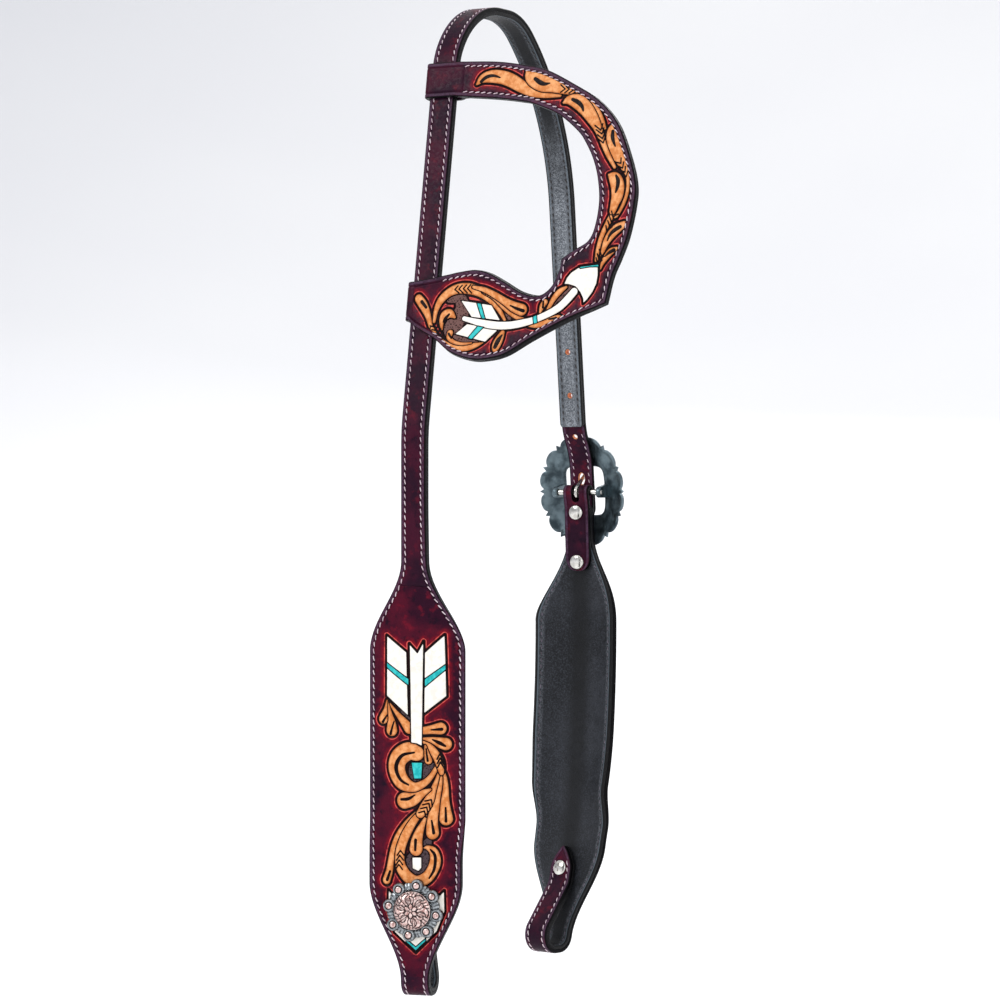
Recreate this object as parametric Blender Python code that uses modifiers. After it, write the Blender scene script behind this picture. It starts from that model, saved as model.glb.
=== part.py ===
"""Western one-ear headstall.

One burgundy strap is the near bit loop, the near cheek, the crown and the punched billet. A thinner black
lining is sewn inside it. A D-shaped ear piece slides on the near side. The billet is held by a scalloped
plate buckle, whose bar carries the far cheek by a folded and riveted chape. Each cheek ends in a bit loop
closed by a berry concho and its screw.

Metres, +Z up. The origin is the middle of the flat under the top of the crown. The near side lies at -Y,
the far side at +Y, and +X is to the right of someone who looks at the near side. Outward means away from
the horse's head.
"""

import math

import bmesh
import bpy
from mathutils import Matrix, Vector

# Leather
OUTER_LEATHER = 0.0024
LINING_LEATHER = 0.0020
SEAM_GAP = 0.0003
STRAP_WIDTH = 0.0159
LOOP_STRAP_WIDTH = 0.0165
CHAPE_WIDTH = 0.0170

# Crown, from the flat at its top down both sides, along the inner face of the lining
CROWN_HALF_FLAT = 0.005
NEAR_TOP_RADIUS = 0.0503
NEAR_TOP_TURN = math.radians(60)
NEAR_SHOULDER_RADIUS = 0.0297
NEAR_SLOPE = math.radians(9.46)
NEAR_SLOPE_LENGTH = 0.203
NEAR_BEND_RADIUS = 0.100
NEAR_DROP = 0.0647
FAR_TOP_RADIUS = 0.0378
FAR_TOP_TURN = math.radians(40)
FAR_SHOULDER_RADIUS = 0.1447
FAR_SLOPE = math.radians(6)
FAR_BAR_LENGTH = 0.1741

# Cheeks
CHEEK_WIDTH = 0.054
CHEEK_NECK = 0.051
CHEEK_TAPER = 0.055
NEAR_BODY = 0.130
FAR_BODY = 0.137
NEAR_SAG = 0.005
FAR_SAG = 0.010
SEATED_SAG_SHARE = 0.22
SAG_BLEND = 0.026
NEAR_TWIST = math.radians(13)
FAR_TWIST = math.radians(-12)
TWIST_LENGTH = 0.075
FAR_TOP_LEAN = math.radians(2.5)
FAR_LOWER_LEAN = math.radians(11.5)
FAR_CURVE_RADIUS = 0.600
FAR_STRAIGHT_SHARE = 0.54

# Bit loops
NEAR_LOOP_RADIUS = 0.0045
NEAR_LOOP_FLAT = 0.0024
NEAR_CLOSING = math.radians(20)
FAR_LOOP_RADIUS = 0.0086
FAR_LOOP_FLAT = 0.0034
FAR_CLOSING = math.radians(28)
CLOSING_RADIUS = 0.014
CONCHO_ABOVE_LOOP = 0.040
TIP_PAST_SCREW = 0.0135
TIP_POINT = 0.014
TIP_END_SHARE = 0.12
POINT_POWER = 1.7

# Billet
BILLET_SHIFT_START = 0.044
BILLET_SHIFT_END = 0.014
BILLET_PAST_BAR = 0.0215
BILLET_POINT = 0.011
BILLET_CLEARANCE = 0.0005
LINING_STOPS_ABOVE_BAR = 0.0415
HOLE_SPACING = 0.0265
HOLE_DIAMETER = 0.0035
HOLE_COUNT = 3
TONGUE_HOLE_LENGTH = 0.0070
TONGUE_HOLE_WIDTH = 0.0042
TONGUE_HOLE_ABOVE_BAR = 0.0076

# Buckle, in its own frame with the bar's axis at zero
BAR_DIAMETER = 0.0036
BAR_OUTWARD = 0.0045
PLATE_HALF_WIDTH = 0.0264
PLATE_HALF_HEIGHT = 0.0314
PLATE_THICKNESS = 0.0018
PLATE_DISH = 0.0055
PLATE_CLEARANCE = 0.0005
LOBE_COUNT = 12
LOBE_RISE = 0.0028
SPIKE_RISE = 0.0026
LOBE_HALF_SHARE = 0.38
WINDOW_HALF_WIDTH = 0.0133
WINDOW_HALF_HEIGHT = 0.0150
WINDOW_POWER = 6
LUG_THICKNESS = 0.0030
LUG_RADIUS = 0.0034
LUG_SET_BACK = 0.0003
TONGUE_WIRE = 0.0024
TONGUE_REACH = 0.0210
TONGUE_BEND_ABOVE_BAR = 0.0120
TONGUE_REST = 0.0005
TONGUE_EYE_TURN = math.radians(258)

# Chape
CHAPE_FLAP = 0.0480
CHAPE_END = 0.0085
CHAPE_END_SHARE = 0.3
CHAPE_CLOSING = math.radians(10)
CHAPE_BEND_RADIUS = 0.012
CHAPE_SLOT_WIDTH = 0.0052
CHAPE_SLOT_BELOW_BAR = 0.0060
FAR_LINING_BELOW_BAR = 0.0072
RIVET_BELOW_BAR = (0.0122, 0.0425)
RIVET_CAP_DIAMETER = 0.0092
RIVET_CAP_RISE = 0.0024
RIVET_CAP_SOCKET = 0.0010
RIVET_CAP_SHARES = ((1.0, 0.25), (0.86, 0.62), (0.55, 0.9))
RIVET_BASE_DIAMETER = 0.0080
RIVET_BASE_THICKNESS = 0.0005
RIVET_POST_DIAMETER = 0.0032
CHEEK_START_BELOW_BAR = 0.0275

# Concho
CONCHO_BASE_RADIUS = 0.0140
CONCHO_BASE_THICKNESS = 0.0020
CONCHO_RIM_RADIUS = 0.0116
CONCHO_RIM_RISE = 0.0032
CONCHO_DOME_RADIUS = 0.0109
CONCHO_DOME_RISE = 0.0068
DOME_SHARES = ((0.91, 0.53), (0.57, 0.88))
BERRY_COUNT = 8
BERRY_RING_RADIUS = 0.0145
BERRY_RADIUS = 0.0036
BERRY_HEIGHT = 0.0044
BERRY_SHARES = ((0.64, 0.23), (1.0, 0.87))
BERRY_PHASE = math.radians(35.5)
POST_DIAMETER = 0.0052
POST_BORE = 0.0036
POST_FLANGE_DIAMETER = 0.0080
POST_FLANGE_THICKNESS = 0.0010
SCREW_HEAD_DIAMETER = 0.0092
SCREW_HEAD_RISE = 0.0022
SCREW_HEAD_SHARES = ((1.0, 0.3), (0.8, 0.75), (0.45, 1.0))
SCREW_SHANK_DIAMETER = 0.0028
SCREW_SHANK_LENGTH = 0.0062
SCREW_CROSS_WIDTH = 0.0010
SCREW_CROSS_LENGTH = 0.0048
SCREW_CROSS_DEPTH = 0.0009

# Ear piece, in the plane of the near strap
EAR_REACH = 0.1313
EAR_DROP = 0.1743
EAR_OVER_SHOULDER = 0.0015
EAR_PLAY = 0.0005
EAR_WRAP_RADIUS = 0.0009
EAR_TAIL = 0.0115
EAR_TAIL_RAMP = math.radians(38)
EAR_TAIL_BEND = 0.003
EAR_CUP = 0.0022
EAR_CUP_START_SHARE = 0.5
EAR_CUP_END_SHARE = 0.12

# The D's outer edge and inner edge from the upper arm round to the lower, as (x, down) shares of its reach
# and its drop. Each pair of points lies across the leather.
EAR_OUTER_SHARES = (
    (0.08, 0.000), (0.28, 0.010), (0.43, 0.030), (0.53, 0.050), (0.66, 0.100), (0.79, 0.160),
    (0.89, 0.240), (0.96, 0.350), (0.998, 0.440), (1.00, 0.510), (0.98, 0.610), (0.95, 0.680),
    (0.92, 0.740), (0.90, 0.825), (0.84, 0.843), (0.785, 0.858), (0.69, 0.889), (0.56, 0.938),
    (0.445, 0.985), (0.345, 1.000), (0.265, 0.997), (0.17, 0.973), (0.09, 0.930), (0.0, 0.893),
)
EAR_INNER_SHARES = (
    (0.08, 0.117), (0.28, 0.133), (0.41, 0.148), (0.475, 0.160), (0.60, 0.200), (0.70, 0.258),
    (0.745, 0.300), (0.787, 0.356), (0.815, 0.418), (0.83, 0.493), (0.82, 0.573), (0.793, 0.620),
    (0.735, 0.646), (0.672, 0.675), (0.667, 0.713), (0.635, 0.766), (0.58, 0.792), (0.498, 0.780),
    (0.409, 0.743), (0.333, 0.714), (0.265, 0.702), (0.186, 0.707), (0.126, 0.714), (0.0, 0.727),
)
EAR_CORNER = 13
EAR_UPPER_BAND_SHARES = (0.000, 0.117)
EAR_LOWER_BAND_SHARES = (0.861, 0.732)

# Fineness
ARC_STEP = math.radians(18)
RUN_STEP = 0.0095
LONG_STEP = 0.060
ACROSS = 4
TURNED_STEPS = 24
CUT_OVERRUN = 0.004
MERGE = 0.00001

LINED = LINING_LEATHER + SEAM_GAP
STRAP_THICKNESS = LINED + OUTER_LEATHER
CHAPE_RADIUS = BAR_DIAMETER / 2 + SEAM_GAP
CHAPE_OUTER = CHAPE_RADIUS + OUTER_LEATHER

PARTS = bpy.data.collections.new("western_headstall")
CUTTERS = bpy.data.collections.new("cutters")


def ease(share):
    """A smooth step from 0 to 1."""
    share = min(max(share, 0.0), 1.0)
    return share * share * (3 - 2 * share)


class Route:
    """A line in a plane, made of straight runs and arcs. Its outward side is the left of its travel."""

    def __init__(self, x, y, heading):
        self.place = (x, y, heading)
        self.pieces = []
        self.length = 0.0

    def straight(self, length):
        x, y, heading = self.place
        self.pieces.append((self.length, length, self.place, 0.0))
        self.place = (x + length * math.cos(heading), y + length * math.sin(heading), heading)
        self.length += length

    def arc(self, radius, turn):
        """Turns left for a positive angle."""
        length = radius * abs(turn)
        self.pieces.append((self.length, length, self.place, turn / length))
        self.length += length
        self.place = self.at(self.length)

    def at(self, distance):
        """Position and heading at a distance along the route."""
        start, length, (x, y, heading), bend = self.pieces[0]
        for piece in self.pieces:
            if piece[0] <= distance:
                start, length, (x, y, heading), bend = piece
        run = distance - start
        if not bend:
            return x + run * math.cos(heading), y + run * math.sin(heading), heading
        end = heading + bend * run
        return (
            x + (math.sin(end) - math.sin(heading)) / bend,
            y - (math.cos(end) - math.cos(heading)) / bend,
            end,
        )

    def stations(self, first, last, fine=()):
        """Distances at which a strip needs a row: through arcs, at joins, and closely inside fine ranges."""
        found = {first, last}
        for start, length, _, bend in self.pieces:
            found |= {start, start + length}
            steps = math.ceil(length / LONG_STEP)
            if bend:
                steps = math.ceil(max(abs(bend) * length / ARC_STEP, length / (RUN_STEP * 2)))
            found |= {start + length * index / steps for index in range(steps)}
        for low, high in fine:
            steps = max(1, math.ceil((high - low) / RUN_STEP))
            found |= {low + (high - low) * index / steps for index in range(steps + 1)}
        kept = []
        for distance in sorted(value for value in found if first <= value <= last):
            if not kept or distance - kept[-1] > SEAM_GAP:
                kept.append(distance)
        kept[-1] = last
        return kept


class Cheek:
    """The pattern of one cheek along its route: neck, full width, taper, bit loop and pointed tip."""

    def __init__(self, start, top_width, body, sag):
        self.start = start
        self.top_width = top_width
        self.taper = start + CHEEK_NECK + body
        self.fold = self.taper + CHEEK_TAPER
        self.concho = self.fold - CONCHO_ABOVE_LOOP
        self.curvature = sag / (CHEEK_WIDTH / 2) ** 2
        self.closed = self.screw = self.tip = 0.0

    def add_bit_loop(self, route, side, radius, flat, closing, closed):
        """Folds the route back up inside the cheek, until it lies against it under the screw."""
        x0, y0, heading = route.place
        first = math.pi / 2 - abs(heading % (2 * math.pi) - 1.5 * math.pi)
        route.arc(radius, side * first)
        self.seat = route.length + flat / 2
        route.straight(flat)
        route.arc(radius, side * (math.pi + closing - first))
        x1, y1, _ = route.place
        across = (-side * math.sin(heading), side * math.cos(heading))
        depth = (x1 - x0) * across[0] + (y1 - y0) * across[1]
        route.straight((depth - CLOSING_RADIUS * (1 - math.cos(closing)) - closed) / math.sin(closing))
        route.arc(CLOSING_RADIUS, -side * closing)
        self.closed = route.length
        x1, y1, _ = route.place
        climbed = -(x1 - x0) * math.cos(heading) - (y1 - y0) * math.sin(heading)
        self.screw = route.length + CONCHO_ABOVE_LOOP - climbed
        self.tip = self.screw + TIP_PAST_SCREW
        route.straight(self.tip - route.length)

    def width(self, distance):
        if distance < self.taper:
            grown = ease((distance - self.start) / CHEEK_NECK)
            return self.top_width + (CHEEK_WIDTH - self.top_width) * grown
        if distance < self.fold:
            return CHEEK_WIDTH + (LOOP_STRAP_WIDTH - CHEEK_WIDTH) * ease(
                (distance - self.taper) / CHEEK_TAPER
            )
        return LOOP_STRAP_WIDTH * pointed(self.tip - distance, TIP_POINT)

    def bow(self, distance):
        """Curvature across the leather, whose edges bend toward the head. The loop's tail bends the same
        way, which is outward for it."""
        if distance < self.fold:
            full = ease((distance - self.start) / CHEEK_NECK)
            seated = ease((distance - self.concho + 2 * SAG_BLEND) / SAG_BLEND)
            left = self.fold - self.concho - BERRY_RING_RADIUS
            gone = ease((distance - self.concho - BERRY_RING_RADIUS) / left)
            share = full * (1 - (1 - SEATED_SAG_SHARE) * seated) * (1 - gone)
            return self.curvature * share
        return -self.curvature * SEATED_SAG_SHARE * ease((distance - self.closed + SAG_BLEND) / SAG_BLEND)

    def fine(self):
        """Ranges where the width or the bow changes."""
        return (
            (self.start, self.start + CHEEK_NECK),
            (self.concho - 2 * SAG_BLEND, self.fold),
            (self.closed - SAG_BLEND, self.tip),
            (self.tip - TIP_POINT / 2, self.tip),
        )


def pointed(left, point):
    """Share of the width that a pointed end still has, a distance before its tip."""
    share = 1 - min(max(left / point, 0.0), 1.0)
    return 1 - (1 - TIP_END_SHARE) * share ** POINT_POWER


def near_half():
    """The near half from the top of the crown, down the cheek and round its bit loop."""
    route = Route(0.0, 0.0, math.pi)
    route.straight(CROWN_HALF_FLAT)
    route.arc(NEAR_TOP_RADIUS, NEAR_TOP_TURN)
    route.arc(NEAR_SHOULDER_RADIUS, math.pi / 2 - NEAR_TOP_TURN - NEAR_SLOPE)
    shoulder = route.length
    route.straight(NEAR_SLOPE_LENGTH)
    route.arc(NEAR_BEND_RADIUS, NEAR_SLOPE)
    route.straight(NEAR_DROP)
    cheek = Cheek(route.length, STRAP_WIDTH, NEAR_BODY, NEAR_SAG)
    route.straight(cheek.fold - route.length)
    cheek.add_bit_loop(route, 1, NEAR_LOOP_RADIUS, NEAR_LOOP_FLAT, NEAR_CLOSING, SEAM_GAP)
    return route, cheek, shoulder


def far_half():
    """The far half from the top of the crown to the end of the billet, and where the bar lies."""
    route = Route(0.0, 0.0, 0.0)
    route.straight(CROWN_HALF_FLAT)
    route.arc(FAR_TOP_RADIUS, -FAR_TOP_TURN)
    route.arc(FAR_SHOULDER_RADIUS, -(math.pi / 2 - FAR_TOP_TURN - FAR_SLOPE))
    y, z, heading = route.place
    outward = (-math.sin(heading), math.cos(heading))
    bar = Vector((
        0.0,
        y + FAR_BAR_LENGTH * math.cos(heading) + BAR_OUTWARD * outward[0],
        z + FAR_BAR_LENGTH * math.sin(heading) + BAR_OUTWARD * outward[1],
    ))
    route.straight(FAR_BAR_LENGTH - BILLET_SHIFT_START)
    shift = BAR_OUTWARD + CHAPE_OUTER + BILLET_CLEARANCE - LINED
    run = BILLET_SHIFT_START - BILLET_SHIFT_END
    turn = 2 * math.atan(shift / run)
    radius = run / (2 * math.sin(turn))
    route.arc(radius, turn)
    route.arc(radius, -turn)
    at_bar = route.length + BILLET_SHIFT_END
    route.straight(BILLET_SHIFT_END + BILLET_PAST_BAR)
    return route, bar, at_bar


NEAR_ROUTE, NEAR_CHEEK, NEAR_SHOULDER = near_half()
FAR_ROUTE, BAR, BILLET_AT_BAR = far_half()


def far_cheek_route():
    """The far cheek along the inner face of its outer leather: up the chape's flap, over the bar, down the
    cheek and round its bit loop."""
    side = (math.cos(FAR_TOP_LEAN), math.sin(FAR_TOP_LEAN))
    up = Route(BAR.y + CHAPE_RADIUS * side[0], BAR.z + CHAPE_RADIUS * side[1], math.pi / 2 + FAR_TOP_LEAN)
    up.arc(CHAPE_RADIUS, math.pi + CHAPE_CLOSING)
    fold = 2 * CHAPE_RADIUS - CHAPE_RADIUS * (1 - math.cos(CHAPE_CLOSING))
    closed = LINED + SEAM_GAP
    slant = fold - closed - CHAPE_BEND_RADIUS * (1 - math.cos(CHAPE_CLOSING))
    up.straight(slant / math.sin(CHAPE_CLOSING))
    up.arc(CHAPE_BEND_RADIUS, -CHAPE_CLOSING)
    up.straight(CHAPE_FLAP - up.length + math.pi * CHAPE_RADIUS)
    route = Route(up.place[0], up.place[1], up.place[2] + math.pi)
    for _, length, _, bend in reversed(up.pieces):
        if bend:
            route.arc(1 / abs(bend), -bend * length)
        else:
            route.straight(length)
    at_bar = route.length
    route.straight(CHEEK_START_BELOW_BAR)
    cheek = Cheek(route.length, CHAPE_WIDTH, FAR_BODY, FAR_SAG)
    route.straight(CHEEK_NECK * FAR_STRAIGHT_SHARE)
    route.arc(FAR_CURVE_RADIUS, -(FAR_TOP_LEAN + FAR_LOWER_LEAN))
    route.straight(cheek.fold - route.length)
    cheek.add_bit_loop(route, -1, FAR_LOOP_RADIUS, FAR_LOOP_FLAT, FAR_CLOSING, 2 * LINED + SEAM_GAP)
    return route, cheek, at_bar


FAR_CHEEK_ROUTE, FAR_CHEEK, CHAPE_AT_BAR = far_cheek_route()


def crown_at(distance):
    """Place and heading on the whole crown strap, by the distance from its top: near side negative."""
    if distance < 0:
        y, z, heading = NEAR_ROUTE.at(-distance)
        return y, z, heading + math.pi
    return FAR_ROUTE.at(distance)


def twisted(point, axis_y, top, angle):
    """Turns a point about the upright line at axis_y, from nothing at the height top to the full angle a
    twist's length below it."""
    turn = angle * ease((top - point.z) / TWIST_LENGTH)
    return Matrix.Rotation(turn, 3, "Z") @ (point - Vector((0.0, axis_y, 0.0))) + Vector((0.0, axis_y, 0.0))


NEAR_CHEEK_Y = NEAR_ROUTE.at(NEAR_CHEEK.start)[0]
NEAR_TWIST_TOP = NEAR_ROUTE.at(NEAR_CHEEK.start)[1] + TWIST_LENGTH / 2
FAR_CHEEK_Y = FAR_CHEEK_ROUTE.at(FAR_CHEEK.concho)[0]
FAR_TWIST_TOP = FAR_CHEEK_ROUTE.at(FAR_CHEEK.concho)[1] + TWIST_LENGTH + CONCHO_BASE_RADIUS


def near_twist(point):
    return twisted(point, NEAR_CHEEK_Y, NEAR_TWIST_TOP, NEAR_TWIST) if point.y < 0 else point


def far_twist(point):
    return twisted(point, FAR_CHEEK_Y, FAR_TWIST_TOP, FAR_TWIST)


def strap_rows(distances, place_at, width_at, bow_at, twist):
    """Rows of points on the reference face of a strap."""
    rows = []
    for distance in distances:
        y, z, heading = place_at(distance)
        outward = Vector((0.0, -math.sin(heading), math.cos(heading)))
        width = width_at(distance)
        row = []
        for index in range(ACROSS + 1):
            across = width * (index / ACROSS - 0.5)
            point = Vector((across, y, z)) - outward * bow_at(distance) * across * across
            row.append(twist(point))
        rows.append(row)
    return rows


def lifted(rows, distance):
    """Rows moved along the surface's own normals, so that two layers stay parallel on every bend."""
    moved = []
    last = len(rows) - 1
    for index, row in enumerate(rows):
        before = rows[max(index - 1, 0)]
        after = rows[min(index + 1, last)]
        new = []
        for column, point in enumerate(row):
            along_in = point - before[column]
            along_out = after[column] - point
            side_in = point - row[max(column - 1, 0)]
            side_out = row[min(column + 1, len(row) - 1)] - point
            normals = [
                side.cross(along).normalized()
                for side in (side_in, side_out)
                for along in (along_in, along_out)
                if side.length and along.length
            ]
            mean = sum(normals, Vector()).normalized()
            spread = max(min(mean.dot(normal) for normal in normals), 0.5)
            new.append(point + mean * distance / spread)
        moved.append(new)
    return moved


def material(name, colour, roughness, metallic=0.0):
    made = bpy.data.materials.new(name)
    made.use_nodes = True
    shader = made.node_tree.nodes["Principled BSDF"]
    shader.inputs["Base Color"].default_value = (*colour, 1.0)
    shader.inputs["Roughness"].default_value = roughness
    shader.inputs["Metallic"].default_value = metallic
    return made


def new_object(name, mesh, collection, finish=None):
    made = bpy.data.objects.new(name, mesh)
    collection.objects.link(made)
    if finish:
        mesh.materials.append(finish)
    return made


def skin(name, rows, thickness, outward, finish):
    """A sheet of leather: an open surface over the rows, thickened to one side."""
    form = bmesh.new()
    points = [[form.verts.new(point) for point in row] for row in rows]
    for low, high in zip(points, points[1:]):
        for index in range(len(low) - 1):
            form.faces.new((low[index], low[index + 1], high[index + 1], high[index]))
    mesh = bpy.data.meshes.new(name)
    form.to_mesh(mesh)
    form.free()
    made = new_object(name, mesh, PARTS, finish)
    wall = made.modifiers.new("Leather thickness", "SOLIDIFY")
    wall.thickness = thickness
    wall.offset = 1.0 if outward else -1.0
    wall.use_even_offset = True
    return made


def cut(made, cutter, operation="DIFFERENCE"):
    step = made.modifiers.new(f"{operation.title()} {cutter.name}", "BOOLEAN")
    step.operation = operation
    step.object = cutter
    step.solver = "EXACT"


def as_cutter(made):
    made.hide_render = True
    made.display_type = "WIRE"
    return made


def rod(name, radius, low, high, collection, finish=None, segments=TURNED_STEPS, stretch=1.0):
    """A round bar along local Z. Stretch makes it oval along local Y."""
    form = bmesh.new()
    bmesh.ops.create_cone(
        form, cap_ends=True, segments=segments, radius1=radius, radius2=radius, depth=high - low,
        matrix=Matrix.Diagonal((1.0, stretch, 1.0, 1.0)) @ Matrix.Translation((0.0, 0.0, (low + high) / 2)),
    )
    mesh = bpy.data.meshes.new(name)
    form.to_mesh(mesh)
    form.free()
    made = new_object(name, mesh, collection, finish)
    mesh.shade_smooth()
    mesh.set_sharp_from_angle(angle=math.radians(40))
    return made


def block(name, size, centre, collection):
    form = bmesh.new()
    bmesh.ops.create_cube(form, size=1.0, matrix=Matrix.Translation(centre) @ Matrix.Diagonal((*size, 1.0)))
    mesh = bpy.data.meshes.new(name)
    form.to_mesh(mesh)
    form.free()
    return new_object(name, mesh, collection)


def turned(name, profile, collection, finish=None, segments=TURNED_STEPS):
    """A profile of (radius, height) points, from the axis up to the axis again down its outer side, spun
    about local Z."""
    mesh = bpy.data.meshes.new(name)
    mesh.from_pydata(
        [(radius, 0.0, height) for radius, height in profile],
        [(index, index + 1) for index in range(len(profile) - 1)],
        [],
    )
    made = new_object(name, mesh, collection, finish)
    spin = made.modifiers.new("Turned", "SCREW")
    spin.steps = segments
    spin.render_steps = segments
    spin.use_merge_vertices = True
    spin.merge_threshold = MERGE
    spin.use_smooth_shade = True
    return made


def frame_on(place, twist_angle, axis_y):
    """The pose of something fastened through a cheek: local Z points outward, local Y up the leather."""
    y, z, heading = place
    outward = Vector((0.0, -math.sin(heading), math.cos(heading)))
    up = Vector((0.0, -math.cos(heading), -math.sin(heading)))
    if up.z < 0:
        up = -up
    right = up.cross(outward)
    pose = Matrix((right, up, outward)).transposed().to_4x4()
    turn = Matrix.Rotation(twist_angle, 4, "Z")
    centre = turn.to_3x3() @ Vector((0.0, y - axis_y, z)) + Vector((0.0, axis_y, 0.0))
    return Matrix.Translation(centre) @ turn @ pose


def empty(name, pose):
    made = bpy.data.objects.new(name, None)
    PARTS.objects.link(made)
    made.matrix_world = pose
    return made


def join_to(parent, *pieces):
    for piece in pieces:
        piece.parent = parent


BURGUNDY = material("burgundy_leather", (0.075, 0.006, 0.012), 0.42)
BLACK = material("black_lining_leather", (0.016, 0.018, 0.022), 0.6)
PEWTER = material("antiqued_pewter", (0.32, 0.33, 0.33), 0.35, 1.0)
GUNMETAL = material("gunmetal_plate", (0.13, 0.16, 0.18), 0.4, 1.0)
NICKEL = material("polished_nickel", (0.62, 0.6, 0.57), 0.22, 1.0)


def crown():
    """The crown strap and its lining."""
    billet_end = FAR_ROUTE.length
    lining_end = BILLET_AT_BAR - LINING_STOPS_ABOVE_BAR

    def width_at(distance):
        if distance < 0:
            return NEAR_CHEEK.width(-distance)
        return STRAP_WIDTH * pointed(billet_end - distance, BILLET_POINT)

    def bow_at(distance):
        return NEAR_CHEEK.bow(-distance) if distance < -NEAR_CHEEK.start else 0.0

    near = NEAR_ROUTE.stations(0.0, NEAR_CHEEK.tip, NEAR_CHEEK.fine())
    far = FAR_ROUTE.stations(0.0, billet_end, ((billet_end - BILLET_POINT / 2, billet_end),))
    distances = [-value for value in reversed(near)] + far[1:]
    outer_rows = strap_rows(distances, crown_at, width_at, bow_at, near_twist)
    strap = skin("crown_strap", lifted(outer_rows, LINED), OUTER_LEATHER, True, BURGUNDY)
    lined = [value for value in distances if value < lining_end - SEAM_GAP] + [lining_end]
    lining_rows = strap_rows(lined, crown_at, width_at, bow_at, near_twist)
    lining = skin("crown_lining", lining_rows, LINING_LEATHER, True, BLACK)
    reach = STRAP_THICKNESS + CUT_OVERRUN
    for index in range(HOLE_COUNT):
        back = TONGUE_HOLE_ABOVE_BAR + HOLE_SPACING * (index + 1)
        punch = as_cutter(rod(f"billet_punch_{index + 1}", HOLE_DIAMETER / 2, -CUT_OVERRUN, reach, CUTTERS,
                              segments=12))
        punch.matrix_world = frame_on(FAR_ROUTE.at(BILLET_AT_BAR - back), 0.0, 0.0)
        cut(strap, punch)
        if back > LINING_STOPS_ABOVE_BAR:
            cut(lining, punch)
    punch = as_cutter(rod("tongue_hole_punch", TONGUE_HOLE_WIDTH / 2, -CUT_OVERRUN, reach, CUTTERS,
                          segments=14, stretch=TONGUE_HOLE_LENGTH / TONGUE_HOLE_WIDTH))
    punch.matrix_world = frame_on(FAR_ROUTE.at(BILLET_AT_BAR - TONGUE_HOLE_ABOVE_BAR), 0.0, 0.0)
    cut(strap, punch)
    return strap, lining


def berry_concho(name):
    """A cast concho: a turned base, rim and dome, with berries joined round its edge. Local Z is outward,
    zero at the leather side of the base."""
    dome = CONCHO_DOME_RISE - CONCHO_RIM_RISE
    base = turned(name, (
        (0.0, 0.0),
        (POST_FLANGE_DIAMETER / 2 + SEAM_GAP, 0.0),
        (CONCHO_BASE_RADIUS, 0.0),
        (CONCHO_BASE_RADIUS, CONCHO_BASE_THICKNESS),
        (CONCHO_RIM_RADIUS, CONCHO_RIM_RISE),
        (CONCHO_DOME_RADIUS, CONCHO_RIM_RISE),
        *((CONCHO_DOME_RADIUS * wide, CONCHO_RIM_RISE + dome * high) for wide, high in DOME_SHARES),
        (0.0, CONCHO_DOME_RISE),
    )[::-1], PARTS, PEWTER)
    for index in range(BERRY_COUNT):
        angle = BERRY_PHASE + math.tau * index / BERRY_COUNT
        berry = as_cutter(turned(f"{name}_berry_{index + 1}", (
            (0.0, BERRY_HEIGHT),
            *((BERRY_RADIUS * wide, BERRY_HEIGHT - BERRY_RADIUS * fall) for wide, fall in BERRY_SHARES),
            (BERRY_RADIUS, SEAM_GAP),
            (0.0, SEAM_GAP),
        ), CUTTERS, segments=10))
        berry.location = (BERRY_RING_RADIUS * math.cos(angle), BERRY_RING_RADIUS * math.sin(angle), 0.0)
        berry.parent = base
        cut(base, berry, "UNION")
    socket = as_cutter(rod(f"{name}_socket", POST_FLANGE_DIAMETER / 2 + SEAM_GAP, -CUT_OVERRUN,
                           POST_FLANGE_THICKNESS + SEAM_GAP, CUTTERS, segments=16))
    socket.parent = base
    cut(base, socket)
    return base


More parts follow.
